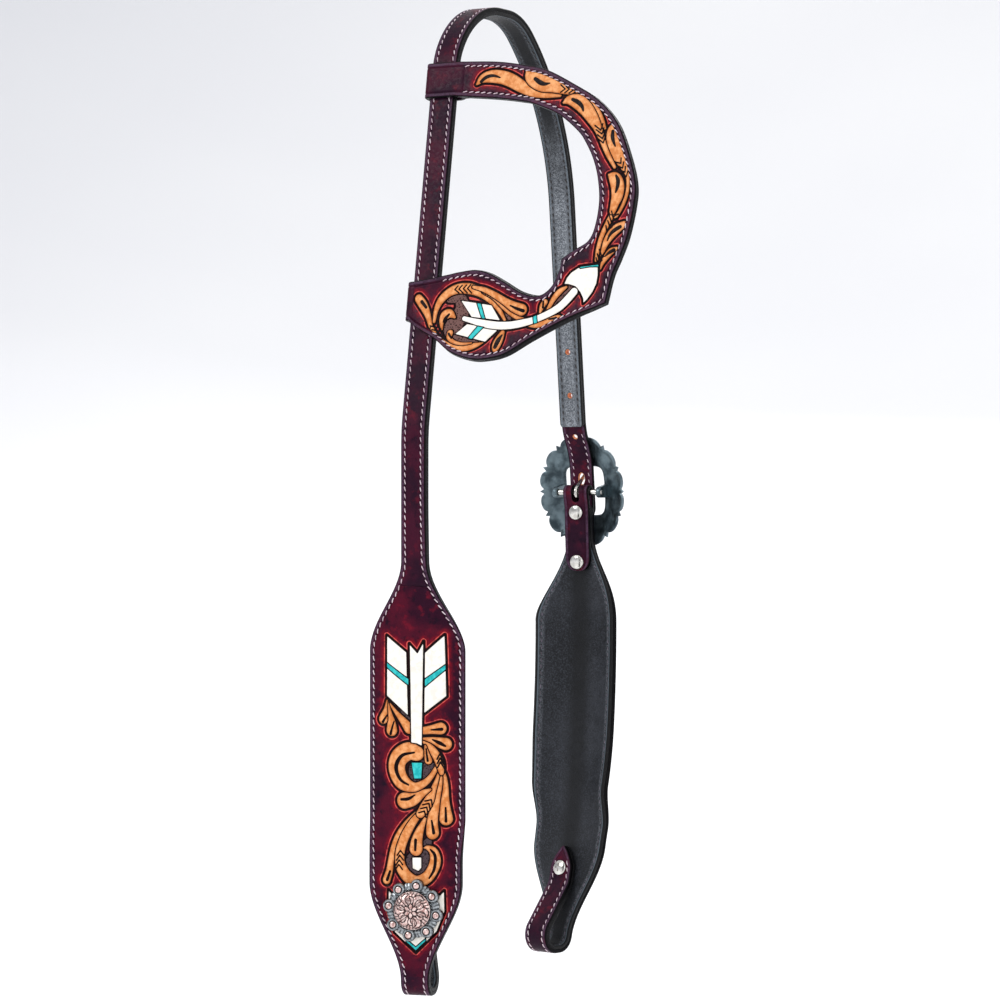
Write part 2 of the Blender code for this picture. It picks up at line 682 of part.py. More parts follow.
def concho_set(prefix, place, stack, twist_angle, axis_y, leathers):
    """A concho, its post and its screw through a stack of leather. Place is on the outer leather's outer
    face."""
    pose = frame_on(place, twist_angle, axis_y)
    carrier = empty(f"{prefix}_concho_axis", pose)
    concho = berry_concho(f"{prefix}_concho")
    concho.location.z = SEAM_GAP
    head_seat = -stack - SEAM_GAP
    post_end = head_seat + SEAM_GAP
    post = turned(f"{prefix}_concho_post", (
        (POST_BORE / 2, post_end),
        (POST_BORE / 2, -SEAM_GAP),
        (0.0, -SEAM_GAP),
    ) + (
        (0.0, POST_FLANGE_THICKNESS + SEAM_GAP),
        (POST_FLANGE_DIAMETER / 2, POST_FLANGE_THICKNESS + SEAM_GAP),
        (POST_FLANGE_DIAMETER / 2, SEAM_GAP),
        (POST_DIAMETER / 2, SEAM_GAP),
        (POST_DIAMETER / 2, post_end),
        (POST_BORE / 2, post_end),
    ), PARTS, NICKEL, segments=16)
    screw = turned(f"{prefix}_concho_screw", (
        (0.0, head_seat + SCREW_SHANK_LENGTH),
        (SCREW_SHANK_DIAMETER / 2, head_seat + SCREW_SHANK_LENGTH),
        (SCREW_SHANK_DIAMETER / 2, head_seat),
        (SCREW_HEAD_DIAMETER / 2, head_seat),
        *((SCREW_HEAD_DIAMETER / 2 * wide, head_seat - SCREW_HEAD_RISE * high)
          for wide, high in SCREW_HEAD_SHARES),
        (0.0, head_seat - SCREW_HEAD_RISE),
    ), PARTS, NICKEL)
    arms = ((SCREW_CROSS_LENGTH, SCREW_CROSS_WIDTH), (SCREW_CROSS_WIDTH, SCREW_CROSS_LENGTH))
    for index, (length, width) in enumerate(arms):
        slot = as_cutter(block(
            f"{prefix}_screw_cross_{index + 1}",
            (length, width, 2 * SCREW_CROSS_DEPTH),
            (0.0, 0.0, head_seat - SCREW_HEAD_RISE),
            CUTTERS,
        ))
        slot.parent = carrier
        cut(screw, slot)
    join_to(carrier, concho, post, screw)
    punch = as_cutter(rod(f"{prefix}_post_punch", POST_DIAMETER / 2 + SEAM_GAP, -stack - CUT_OVERRUN,
                          CUT_OVERRUN, CUTTERS, segments=16))
    punch.matrix_world = pose
    for leather in leathers:
        cut(leather, punch)


def far_cheek():
    """The far cheek's outer leather, with its chape, and its lining."""
    lining_start = CHAPE_AT_BAR + FAR_LINING_BELOW_BAR

    def width_at(distance):
        if distance < FAR_CHEEK.start:
            rounded = min(distance / CHAPE_END, 1.0)
            full = math.sqrt(rounded * (2 - rounded))
            return CHAPE_WIDTH * (CHAPE_END_SHARE + (1 - CHAPE_END_SHARE) * full)
        return FAR_CHEEK.width(distance)

    def bow_at(distance):
        return FAR_CHEEK.bow(distance) if distance > FAR_CHEEK.start else 0.0

    fine = FAR_CHEEK.fine() + ((0.0, CHAPE_END / 3), (CHAPE_END / 3, CHAPE_END))
    distances = FAR_CHEEK_ROUTE.stations(0.0, FAR_CHEEK.tip, fine)
    outer_rows = strap_rows(distances, FAR_CHEEK_ROUTE.at, width_at, bow_at, far_twist)
    cheek = skin("far_cheek", outer_rows, OUTER_LEATHER, True, BURGUNDY)
    lined = [lining_start] + [value for value in distances if value > lining_start + SEAM_GAP]
    lining_rows = strap_rows(lined, FAR_CHEEK_ROUTE.at, width_at, bow_at, far_twist)
    lining = skin("far_cheek_lining", lifted(lining_rows, -SEAM_GAP), LINING_LEATHER, False, BLACK)
    return cheek, lining


def chape(cheek, lining):
    """The slot for the tongue and the two rivets that close the chape."""
    pose = frame_on(FAR_CHEEK_ROUTE.at(CHAPE_AT_BAR), 0.0, 0.0)
    half = CHAPE_SLOT_WIDTH / 2
    low = -2 * CHAPE_OUTER - CUT_OVERRUN
    slot_end = as_cutter(rod("chape_slot_end", half, low, CUT_OVERRUN + OUTER_LEATHER, CUTTERS, segments=16))
    slot_end.matrix_world = pose @ Matrix.Translation((0.0, -(CHAPE_SLOT_BELOW_BAR - half), 0.0))
    height = CHAPE_OUTER + CUT_OVERRUN + CHAPE_SLOT_BELOW_BAR - half
    slot = as_cutter(block(
        "chape_slot",
        (CHAPE_SLOT_WIDTH, height, CUT_OVERRUN + OUTER_LEATHER - low),
        (0.0, height / 2 - (CHAPE_SLOT_BELOW_BAR - half), (CUT_OVERRUN + OUTER_LEATHER + low) / 2),
        CUTTERS,
    ))
    slot.matrix_world = pose
    cut(cheek, slot)
    cut(cheek, slot_end)
    stack = OUTER_LEATHER + LINED + SEAM_GAP + OUTER_LEATHER
    for label, below in zip(("upper", "lower"), RIVET_BELOW_BAR):
        y, z, heading = FAR_CHEEK_ROUTE.at(CHAPE_AT_BAR + below)
        outward = (-math.sin(heading), math.cos(heading))
        face = (y + OUTER_LEATHER * outward[0], z + OUTER_LEATHER * outward[1], heading)
        carrier = empty(f"{label}_rivet_axis", frame_on(face, 0.0, 0.0))
        cap_seat = -stack - SEAM_GAP
        radius = RIVET_CAP_DIAMETER / 2
        cap = turned(f"{label}_rivet_cap", (
            (0.0, cap_seat - RIVET_CAP_SOCKET),
            (RIVET_POST_DIAMETER / 2 + SEAM_GAP, cap_seat - RIVET_CAP_SOCKET),
            (RIVET_POST_DIAMETER / 2 + SEAM_GAP, cap_seat),
            (radius, cap_seat),
            *((radius * wide, cap_seat - RIVET_CAP_RISE * high) for wide, high in RIVET_CAP_SHARES),
            (0.0, cap_seat - RIVET_CAP_RISE),
        ), PARTS, NICKEL, segments=20)
        post = turned(f"{label}_rivet_post", (
            (0.0, SEAM_GAP + RIVET_BASE_THICKNESS),
            (RIVET_BASE_DIAMETER / 2, SEAM_GAP + RIVET_BASE_THICKNESS),
            (RIVET_BASE_DIAMETER / 2, SEAM_GAP),
            (RIVET_POST_DIAMETER / 2, SEAM_GAP),
            (RIVET_POST_DIAMETER / 2, cap_seat - RIVET_CAP_SOCKET + SEAM_GAP),
            (0.0, cap_seat - RIVET_CAP_SOCKET + SEAM_GAP),
        ), PARTS, NICKEL, segments=16)
        join_to(carrier, cap, post)
        punch = as_cutter(rod(f"{label}_rivet_punch", RIVET_POST_DIAMETER / 2 + SEAM_GAP,
                              cap_seat - CUT_OVERRUN, CUT_OVERRUN, CUTTERS, segments=14))
        punch.matrix_world = carrier.matrix_world.copy()
        cut(cheek, punch)
        cut(lining, punch)


def plate_underside(x, down):
    """Height of the plate's leather side over the bar's axis."""
    crown_height = (
        CHAPE_OUTER + BILLET_CLEARANCE + OUTER_LEATHER + PLATE_CLEARANCE
        + PLATE_DISH * (BILLET_PAST_BAR / PLATE_HALF_HEIGHT) ** 2
    )
    return crown_height - PLATE_DISH * ((x / PLATE_HALF_WIDTH) ** 2 + (down / PLATE_HALF_HEIGHT) ** 2)


def scallop(angle):
    """How far the plate's edge stands past its oval: round lobes with a small point between them."""
    phase = abs((angle * LOBE_COUNT / math.tau) % 1.0 - 0.5)
    if phase < LOBE_HALF_SHARE:
        return LOBE_RISE * math.sqrt(1 - (phase / LOBE_HALF_SHARE) ** 2)
    return SPIKE_RISE * (phase - LOBE_HALF_SHARE) / (0.5 - LOBE_HALF_SHARE)


def buckle():
    """The plate with its window and lugs, the bar and the tongue. Local Y is up the strap, Z outward."""
    pose = frame_on((BAR.y, BAR.z, -math.pi / 2 + FAR_SLOPE), 0.0, 0.0)
    carrier = empty("buckle_bar_axis", pose)
    per_lobe = 8
    rings = 3
    form = bmesh.new()
    grid = []
    for index in range(LOBE_COUNT * per_lobe):
        angle = math.tau * index / (LOBE_COUNT * per_lobe)
        c, s = math.cos(angle), math.sin(angle)
        window = (abs(c / WINDOW_HALF_WIDTH) ** WINDOW_POWER
                  + abs(s / WINDOW_HALF_HEIGHT) ** WINDOW_POWER) ** (-1 / WINDOW_POWER)
        oval = 1 / math.hypot(c / PLATE_HALF_WIDTH, s / PLATE_HALF_HEIGHT)
        edge = oval + scallop(angle)
        column = []
        for ring in range(rings + 1):
            radius = window + (edge - window) * ring / rings
            x, up = radius * c, radius * s
            column.append(form.verts.new((x, up, plate_underside(x, up))))
        grid.append(column)
    for index, column in enumerate(grid):
        after = grid[(index + 1) % len(grid)]
        for ring in range(rings):
            form.faces.new((column[ring], column[ring + 1], after[ring + 1], after[ring]))
    mesh = bpy.data.meshes.new("buckle_plate")
    form.to_mesh(mesh)
    form.free()
    plate = new_object("buckle_plate", mesh, PARTS, GUNMETAL)
    wall = plate.modifiers.new("Plate thickness", "SOLIDIFY")
    wall.thickness = PLATE_THICKNESS
    wall.offset = 1.0
    wall.use_even_offset = True
    inner = WINDOW_HALF_WIDTH + LUG_SET_BACK
    outer = inner + LUG_THICKNESS
    top = plate_underside(inner, 0.0) + PLATE_THICKNESS / 2
    for side in (-1, 1):
        label = "right" if side > 0 else "left"
        middle = side * (inner + outer) / 2
        web = as_cutter(block(f"{label}_lug_web", (LUG_THICKNESS, 2 * LUG_RADIUS, top),
                              (middle, 0.0, top / 2), CUTTERS))
        eye = as_cutter(rod(f"{label}_lug_eye", LUG_RADIUS, -LUG_THICKNESS / 2, LUG_THICKNESS / 2, CUTTERS,
                            segments=16))
        eye.matrix_local = Matrix.Translation((middle, 0.0, 0.0)) @ Matrix.Rotation(math.pi / 2, 4, "Y")
        join_to(carrier, web, eye)
        cut(plate, web, "UNION")
        cut(plate, eye, "UNION")
    bore = as_cutter(rod("bar_bore", BAR_DIAMETER / 2 + SEAM_GAP, -outer - CUT_OVERRUN, outer + CUT_OVERRUN,
                         CUTTERS, segments=16))
    bore.matrix_local = Matrix.Rotation(math.pi / 2, 4, "Y")
    cut(plate, bore)
    bar = rod("buckle_bar", BAR_DIAMETER / 2, -outer, outer, PARTS, NICKEL, segments=16)
    bar.matrix_local = Matrix.Rotation(math.pi / 2, 4, "Y")
    tongue = buckle_tongue()
    join_to(carrier, plate, bore, bar, tongue)


def buckle_tongue():
    """Round wire with an eye round the bar, up through the billet, its point on the plate."""
    half = TONGUE_WIRE / 2
    eye = BAR_DIAMETER / 2 + SEAM_GAP + half
    rest_up = TONGUE_REACH
    on_plate = plate_underside(0.0, rest_up) + PLATE_THICKNESS + TONGUE_REST + half
    bend_up = TONGUE_BEND_ABOVE_BAR
    at_window = plate_underside(0.0, WINDOW_HALF_HEIGHT) + PLATE_THICKNESS + TONGUE_REST + half
    rise = (at_window - on_plate) / (rest_up - WINDOW_HALF_HEIGHT)
    over = at_window + rise * (WINDOW_HALF_HEIGHT - bend_up)
    direction = math.atan2(over, bend_up)
    swing = math.acos(eye / math.hypot(over, bend_up))
    start = direction - swing
    points = [(rest_up, on_plate), ((rest_up + bend_up) / 2, (on_plate + over) / 2), (bend_up, over)]
    steps = 14
    for index in range(steps + 1):
        angle = start - TONGUE_EYE_TURN * index / steps
        points.append((eye * math.cos(angle), eye * math.sin(angle)))
    curve = bpy.data.curves.new("buckle_tongue", "CURVE")
    curve.dimensions = "3D"
    curve.bevel_depth = half
    curve.bevel_resolution = 2
    curve.use_fill_caps = True
    spline = curve.splines.new("POLY")
    spline.points.add(len(points) - 1)
    for point, (up, out) in zip(spline.points, points):
        point.co = (0.0, up, out, 1.0)
    curve.materials.append(NICKEL)
    made = bpy.data.objects.new("buckle_tongue", curve)
    PARTS.objects.link(made)
    return made


def smooth_edge(shares, parts):
    """Points along an edge of the D, curved through its shares and sharp at its corner."""
    points = [Vector((x * EAR_REACH, down * EAR_DROP)) for x, down in shares]
    made = []
    for index in range(len(points) - 1):
        a, b = points[index], points[index + 1]
        before = points[index - 1] if index not in (0, EAR_CORNER) else a * 2 - b
        after = points[index + 2] if index + 1 not in (EAR_CORNER, len(points) - 1) else b * 2 - a
        for step in range(parts):
            t = step / parts
            made.append(0.5 * (
                2 * a + (b - before) * t + (2 * before - 5 * a + 4 * b - after) * t ** 2
                + (3 * a - before - 3 * b + after) * t ** 3
            ))
    made.append(points[-1])
    return made


def ear_wrap():
    """The end of an arm from its tail, behind the strap and round its edge, as (x, outward) places."""
    back = -EAR_PLAY
    front = STRAP_THICKNESS + EAR_PLAY
    edge = STRAP_WIDTH / 2 + EAR_PLAY
    seated = front - LINED - SEAM_GAP
    rise = seated - back
    straight = (rise - 2 * EAR_TAIL_BEND * (1 - math.cos(EAR_TAIL_RAMP))) / math.sin(EAR_TAIL_RAMP)
    ramp = straight * math.cos(EAR_TAIL_RAMP) + 2 * EAR_TAIL_BEND * math.sin(EAR_TAIL_RAMP)
    route = Route(edge + ramp + EAR_TAIL, seated, math.pi)
    route.straight(EAR_TAIL)
    route.arc(EAR_TAIL_BEND, EAR_TAIL_RAMP)
    route.straight(straight)
    route.arc(EAR_TAIL_BEND, -EAR_TAIL_RAMP)
    route.straight(2 * edge - EAR_WRAP_RADIUS)
    route.arc(EAR_WRAP_RADIUS, -math.pi / 2)
    route.straight(front - back - 2 * EAR_WRAP_RADIUS)
    route.arc(EAR_WRAP_RADIUS, -math.pi / 2)
    return route


def ear_piece():
    """The D with both ends wrapped round the near strap, and its lining."""
    y, z, heading = NEAR_ROUTE.at(NEAR_SHOULDER)
    down = Vector((0.0, math.cos(heading), math.sin(heading)))
    outward = Vector((0.0, math.sin(heading), -math.cos(heading)))
    origin = Vector((0.0, y, z)) - down * EAR_OVER_SHOULDER

    def world(x, below, out):
        return origin + Vector((x, 0.0, 0.0)) + down * below + outward * out

    def row(first, last, out, cup=0.0):
        made = []
        for index in range(ACROSS + 1):
            share = index / ACROSS
            x = first[0] + (last[0] - first[0]) * share
            below = first[1] + (last[1] - first[1]) * share
            made.append(world(x, below, out + cup * (2 * share - 1) ** 2))
        return made

    front = STRAP_THICKNESS + EAR_PLAY
    wrap = ear_wrap()
    places = [wrap.at(distance)[:2] for distance in wrap.stations(0.0, wrap.length)]
    upper = [share * EAR_DROP for share in EAR_UPPER_BAND_SHARES]
    lower = [share * EAR_DROP for share in EAR_LOWER_BAND_SHARES]
    outer = smooth_edge(EAR_OUTER_SHARES, 2)
    inner = smooth_edge(EAR_INNER_SHARES, 2)
    face = []
    for index, (a, b) in enumerate(zip(outer, inner)):
        share = index / (len(outer) - 1)
        risen = (share - EAR_CUP_START_SHARE) / (1 - EAR_CUP_START_SHARE) * 2
        cup = EAR_CUP * ease(risen) * ease((1 - share) / EAR_CUP_END_SHARE)
        face.append(row(a, b, front, cup))
    rows = [row((x, upper[0]), (x, upper[1]), out) for x, out in places]
    rows += face
    rows += [row((x, lower[0]), (x, lower[1]), out) for x, out in reversed(places)]
    leather = skin("ear_piece", rows, OUTER_LEATHER, True, BURGUNDY)
    lining_edge = STRAP_WIDTH / 2 + EAR_PLAY
    kept = [line for line in face if line[0].x > lining_edge and line[-1].x > lining_edge]
    lining = skin("ear_lining", lifted(kept, -SEAM_GAP), LINING_LEATHER, False, BLACK)
    return leather, lining


def main():
    for old in list(bpy.data.objects):
        bpy.data.objects.remove(old)
    bpy.context.scene.collection.children.link(PARTS)
    bpy.context.scene.collection.children.link(CUTTERS)
    CUTTERS.hide_render = True
    strap, crown_lining = crown()
    cheek, cheek_lining = far_cheek()
    ear_piece()
    y, z, heading = NEAR_ROUTE.at(NEAR_CHEEK.concho)
    near_face = (y + STRAP_THICKNESS * math.sin(heading), z, heading + math.pi)
    concho_set("near", near_face, 2 * STRAP_THICKNESS + SEAM_GAP, NEAR_TWIST, NEAR_CHEEK_Y,
               (strap, crown_lining))
    y, z, heading = FAR_CHEEK_ROUTE.at(FAR_CHEEK.concho)
    far_face = (y - OUTER_LEATHER * math.sin(heading), z + OUTER_LEATHER * math.cos(heading), heading)
    concho_set("far", far_face, 2 * STRAP_THICKNESS + SEAM_GAP, FAR_TWIST, FAR_CHEEK_Y,
               (cheek, cheek_lining))
    chape(cheek, cheek_lining)
    buckle()


main()
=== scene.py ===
"""Looks of a western one-ear headstall: waxed burgundy leather over a black lining, tooled and painted cheeks
and ear piece, berry conchos, a scalloped plate buckle, rivets and screws.

Metres, +Z up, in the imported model's own frame. Drawn patterns and reliefs are in millimetres.
"""

import logging
import math
from dataclasses import dataclass
from enum import Enum
from typing import Callable, Optional, Sequence

import bpy
import numpy as np
from mathutils import Matrix, Vector

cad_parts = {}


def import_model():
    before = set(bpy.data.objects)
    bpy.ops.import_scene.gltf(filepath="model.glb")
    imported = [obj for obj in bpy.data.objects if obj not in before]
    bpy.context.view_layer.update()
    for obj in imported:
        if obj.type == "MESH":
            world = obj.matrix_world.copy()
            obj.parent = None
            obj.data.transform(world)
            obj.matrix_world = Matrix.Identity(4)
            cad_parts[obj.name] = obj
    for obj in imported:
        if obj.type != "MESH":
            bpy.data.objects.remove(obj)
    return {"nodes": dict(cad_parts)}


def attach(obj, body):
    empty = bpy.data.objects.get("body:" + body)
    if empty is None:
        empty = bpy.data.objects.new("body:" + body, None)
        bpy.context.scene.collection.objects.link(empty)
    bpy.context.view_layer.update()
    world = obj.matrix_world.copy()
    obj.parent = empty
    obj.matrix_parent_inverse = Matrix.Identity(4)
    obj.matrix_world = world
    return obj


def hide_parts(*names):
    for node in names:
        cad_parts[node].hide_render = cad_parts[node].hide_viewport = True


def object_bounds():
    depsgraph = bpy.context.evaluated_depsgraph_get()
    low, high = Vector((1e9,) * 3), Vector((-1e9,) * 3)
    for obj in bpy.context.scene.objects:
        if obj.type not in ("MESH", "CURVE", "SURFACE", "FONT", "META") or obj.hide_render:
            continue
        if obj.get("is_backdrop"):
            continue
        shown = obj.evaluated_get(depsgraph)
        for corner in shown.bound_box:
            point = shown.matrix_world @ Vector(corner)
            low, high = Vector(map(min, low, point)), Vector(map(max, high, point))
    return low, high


LOG = logging.getLogger("headstall")
MM = 0.001
FAR_AWAY = 9.0

Array = np.ndarray
Object = bpy.types.Object
Material = bpy.types.Material
Socket = bpy.types.NodeSocket
Tree = bpy.types.NodeTree
Span = tuple[float, float]
Triple = tuple[float, float, float]
Stroke = Sequence[tuple[float, ...]]


class Slot(Enum):
    """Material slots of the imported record."""

    BURGUNDY = "burgundy_leather"
    LINING = "black_lining_leather"
    PEWTER = "antiqued_pewter"
    GUNMETAL = "gunmetal_plate"
    NICKEL = "polished_nickel"


class Body(Enum):
    """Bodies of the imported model."""

    CROWN = "crown"
    EAR = "ear"
    FAR_CHEEK = "far_cheek"
    TONGUE = "tongue"
    NEAR_SCREW = "near_screw"
    FAR_SCREW = "far_screw"


class Side(Enum):
    """The two sides of the head."""

    NEAR = "near"
    FAR = "far"


# Colours and shader nodes


def linear(code: str) -> tuple[float, float, float, float]:
    """Turns an sRGB hex colour into linear RGBA.

    Args:
        code: six hex digits after a hash sign.

    Returns:
        The linear colour with full opacity.
    """
    parts = [int(code[place:place + 2], 16) / 255 for place in (1, 3, 5)]
    done = [part / 12.92 if part <= 0.04045 else ((part + 0.055) / 1.055) ** 2.4 for part in parts]
    return (done[0], done[1], done[2], 1.0)


def add(tree: Tree, kind: str, inputs: Optional[dict] = None, **settings: object) -> bpy.types.Node:
    """Adds one node to a tree.

    Args:
        tree: the node tree.
        kind: the node's type name.
        inputs: a value or an output socket for each input, by name or by index.
        settings: properties of the node itself.

    Returns:
        The new node.
    """
    made = tree.nodes.new(kind)
    for name, value in settings.items():
        setattr(made, name, value)
    for name, value in (inputs or {}).items():
        socket = made.inputs[name]
        if isinstance(value, Socket):
            tree.links.new(value, socket)
        else:
            socket.default_value = value
    return made


def number(tree: Tree, operation: str, *values: object) -> Socket:
    """Adds a maths node for up to three values and returns its result."""
    return add(tree, "ShaderNodeMath", dict(enumerate(values)), operation=operation).outputs[0]


@dataclass
class Bench:
    """A new material and short ways to lay out its nodes."""

    name: str

    def __post_init__(self) -> None:
        """Makes the material with one Principled shader."""
        self.material = bpy.data.materials.new(self.name)
        self.material.use_nodes = True
        self.tree = self.material.node_tree
        self.shader = self.tree.nodes["Principled BSDF"]
        self.place = add(self.tree, "ShaderNodeTexCoord").outputs["Object"]

    def carried(self, name: str) -> Socket:
        """Reads a float that the mesh carries on its points."""
        return add(self.tree, "ShaderNodeAttribute", attribute_name=name).outputs["Fac"]

    def sum(self, operation: str, *values: object) -> Socket:
        """Works out one number from up to three."""
        return number(self.tree, operation, *values)

    def ramp(self, value: object, low: float, high: float, first: float = 0.0, last: float = 1.0) -> Socket:
        """Turns the range from low to high smoothly into first to last."""
        inputs = {"Value": value, "From Min": low, "From Max": high, "To Min": first, "To Max": last}
        return add(self.tree, "ShaderNodeMapRange", inputs, interpolation_type="SMOOTHSTEP").outputs["Result"]

    def noise(self, size: float, detail: float = 3.0, roughness: float = 0.55) -> Socket:
        """Cloudy noise whose spots are about size millimetres across."""
        inputs = {"Vector": self.place, "Scale": 1 / (size * MM), "Detail": detail, "Roughness": roughness}
        return add(self.tree, "ShaderNodeTexNoise", inputs).outputs["Fac"]

    def cells(self, size: float) -> Socket:
        """Distance inside cells that are about size millimetres across."""
        inputs = {"Vector": self.place, "Scale": 1 / (size * MM)}
        return add(self.tree, "ShaderNodeTexVoronoi", inputs).outputs["Distance"]

    def mix(self, share: object, first: object, second: object) -> Socket:
        """Mixes two colours, each given as a hex code or a socket."""
        pair = [linear(each) if isinstance(each, str) else each for each in (first, second)]
        made = add(self.tree, "ShaderNodeMix", {0: share, 6: pair[0], 7: pair[1]}, data_type="RGBA")
        return made.outputs[2]

    def bump(self, height: object, depth: float, under: Optional[Socket] = None) -> Socket:
        """Tilts the surface by a height that spans depth millimetres."""
        inputs = {"Height": height, "Distance": depth * MM, "Strength": 1.0}
        if under:
            inputs["Normal"] = under
        return add(self.tree, "ShaderNodeBump", inputs).outputs["Normal"]

    def finish(self, colour: object, roughness: object, normal: Optional[Socket] = None,
               **fixed: float) -> Material:
        """Joins the results to the shader.

        Args:
            colour: a hex code or a colour socket.
            roughness: a number or a socket.
            normal: the tilted normal.
            fixed: values of other shader sockets, with spaces as underscores.

        Returns:
            The finished material.
        """
        for name, value in (("Base Color", colour), ("Roughness", roughness), ("Normal", normal)):
            if isinstance(value, Socket):
                self.tree.links.new(value, self.shader.inputs[name])
            elif isinstance(value, str):
                self.shader.inputs[name].default_value = linear(value)
            elif value is not None:
                self.shader.inputs[name].default_value = value
        for name, value in fixed.items():
            self.shader.inputs[name.replace("_", " ")].default_value = value
        return self.material


# Sizes that scene and solids share

OUTER_LEATHER = 0.0024
LINING_LEATHER = 0.0020
SEAM_GAP = 0.0003
LINED = LINING_LEATHER + SEAM_GAP
STRAP_THICKNESS = LINED + OUTER_LEATHER
STRAP_WIDTH = 0.0159
LOOP_STRAP_WIDTH = 0.0165
TWIST_LENGTH = 0.075
TIP_NARROWING = 0.88
TIP_SHARPNESS = 1.7
POST_HOLE_RADIUS = 0.0029

# Sizes of sewing and of tooled panels, and how far a cutter passes what it cuts

STITCH_INSET = 0.0028
STITCH_PITCH = 0.0040
FIRST_HOLE = 0.0001
THREAD_SUNK = 0.00008
HOLE_SUNK = 0.0003
PANEL_INSET = 0.0033
PANEL_SUNK = 0.0010
PANEL_LAP = 0.0005
PATTERN_STRETCH = 1.015
PATTERN_NARROW = 0.95
PATTERN_SHIFT = 0.0012
FINE_STEP = 0.00036
CUT_PAST = 0.004


def ease(share: object) -> object:
    """A smooth step from 0 to 1, for a number or an array."""
    share = np.clip(share, 0.0, 1.0)
    return share * share * (3 - 2 * share)


def bell(distance: Array, width: float) -> Array:
    """A smooth bump of height 1 at no distance."""
    return np.exp(-(distance / width) ** 2)


def spread(first: float, last: float, step: float) -> Array:
    """Even places from first to last, about a step apart."""
    return np.linspace(first, last, max(2, int(round(abs(last - first) / step)) + 1))


class Route:
    """A line in a plane, made of straight runs and arcs. Its outward side is the left of its travel."""

    def __init__(self, x: float, y: float, heading: float) -> None:
        """Starts at a place with a heading in radians."""
        self.place = (x, y, heading)
        self.pieces: list[tuple[float, float, Triple, float]] = []
        self.length = 0.0

    def straight(self, length: float) -> None:
        """Goes straight on."""
        x, y, heading = self.place
        self.pieces.append((self.length, length, self.place, 0.0))
        self.place = (x + length * math.cos(heading), y + length * math.sin(heading), heading)
        self.length += length

    def arc(self, radius: float, turn: float) -> None:
        """Turns left for a positive angle."""
        length = radius * abs(turn)
        self.pieces.append((self.length, length, self.place, turn / length))
        self.length += length
        self.place = self.at(self.length)

    def at(self, distance: float) -> Triple:
        """Position and heading at a distance along the route."""
        start, _, (x, y, heading), bend = self.pieces[0]
        for piece in self.pieces:
            if piece[0] <= distance:
                start, _, (x, y, heading), bend = piece
        run = distance - start
        if not bend:
            return x + run * math.cos(heading), y + run * math.sin(heading), heading
        end = heading + bend * run
        return (
            x + (math.sin(end) - math.sin(heading)) / bend,
            y - (math.cos(end) - math.cos(heading)) / bend,
            end,
        )


def pointed(left: float, point: float) -> float:
    """Share of the width that a pointed end still has, a distance before its tip."""
    share = 1 - min(max(left / point, 0.0), 1.0)
    return 1 - TIP_NARROWING * share ** TIP_SHARPNESS


@dataclass
class Cheek:
    """The pattern of one cheek along its route: neck, full width, taper, bit loop and pointed tip."""

    start: float
    top_width: float
    body: float
    sag: float
    full_width: float = 0.054
    neck: float = 0.051
    taper_length: float = 0.055
    concho_above_loop: float = 0.040
    closing_radius: float = 0.014
    tip_past_screw: float = 0.0135
    tip_point: float = 0.014
    sag_blend: float = 0.026
    seated_share: float = 0.22
    berry_ring: float = 0.0145

    def __post_init__(self) -> None:
        """Works out the stations that follow from the lengths."""
        self.taper = self.start + self.neck + self.body
        self.fold = self.taper + self.taper_length
        self.concho = self.fold - self.concho_above_loop
        self.curvature = self.sag / (self.full_width / 2) ** 2
        self.closed = self.tip = 0.0

    def add_bit_loop(self, route: Route, side: int, radius: float, flat: float, closing: float,
                     closed: float) -> None:
        """Folds the route back up inside the cheek, until it lies against it under the screw.

        Args:
            route: the route so far, which ends at the fold.
            side: 1 where the loop turns left, -1 where it turns right.
            radius: bend radius at the bottom corners.
            flat: length of the bottom's flat.
            closing: lean with which the tail comes back to the cheek.
            closed: distance between the two faces where they meet.
        """
        x0, y0, heading = route.place
        first = math.pi / 2 - abs(heading % (2 * math.pi) - 1.5 * math.pi)
        route.arc(radius, side * first)
        route.straight(flat)
        route.arc(radius, side * (math.pi + closing - first))
        x1, y1, _ = route.place
        depth = (x1 - x0) * -side * math.sin(heading) + (y1 - y0) * side * math.cos(heading)
        run = depth - self.closing_radius * (1 - math.cos(closing)) - closed
        route.straight(run / math.sin(closing))
        route.arc(self.closing_radius, -side * closing)
        self.closed = route.length
        x1, y1, _ = route.place
        climbed = -(x1 - x0) * math.cos(heading) - (y1 - y0) * math.sin(heading)
        self.tip = route.length + self.concho_above_loop - climbed + self.tip_past_screw
        route.straight(self.tip - route.length)

    def width(self, distance: float) -> float:
        """Width of the leather at a distance along the route."""
        if distance < self.taper:
            return self.top_width + (self.full_width - self.top_width) * ease((distance - self.start) / self.neck)
        if distance < self.fold:
            grown = ease((distance - self.taper) / self.taper_length)
            return self.full_width + (LOOP_STRAP_WIDTH - self.full_width) * grown
        return LOOP_STRAP_WIDTH * pointed(self.tip - distance, self.tip_point)

    def bow(self, distance: float) -> float:
        """Curvature across the leather, whose edges bend toward the head."""
        if distance < self.start:
            return 0.0
        if distance < self.fold:
            full = ease((distance - self.start) / self.neck)
            seated = ease((distance - self.concho + 2 * self.sag_blend) / self.sag_blend)
            left = self.fold - self.concho - self.berry_ring
            gone = ease((distance - self.concho - self.berry_ring) / left)
            return self.curvature * full * (1 - (1 - self.seated_share) * seated) * (1 - gone)
        near = ease((distance - self.closed + self.sag_blend) / self.sag_blend)
        return -self.curvature * self.seated_share * near


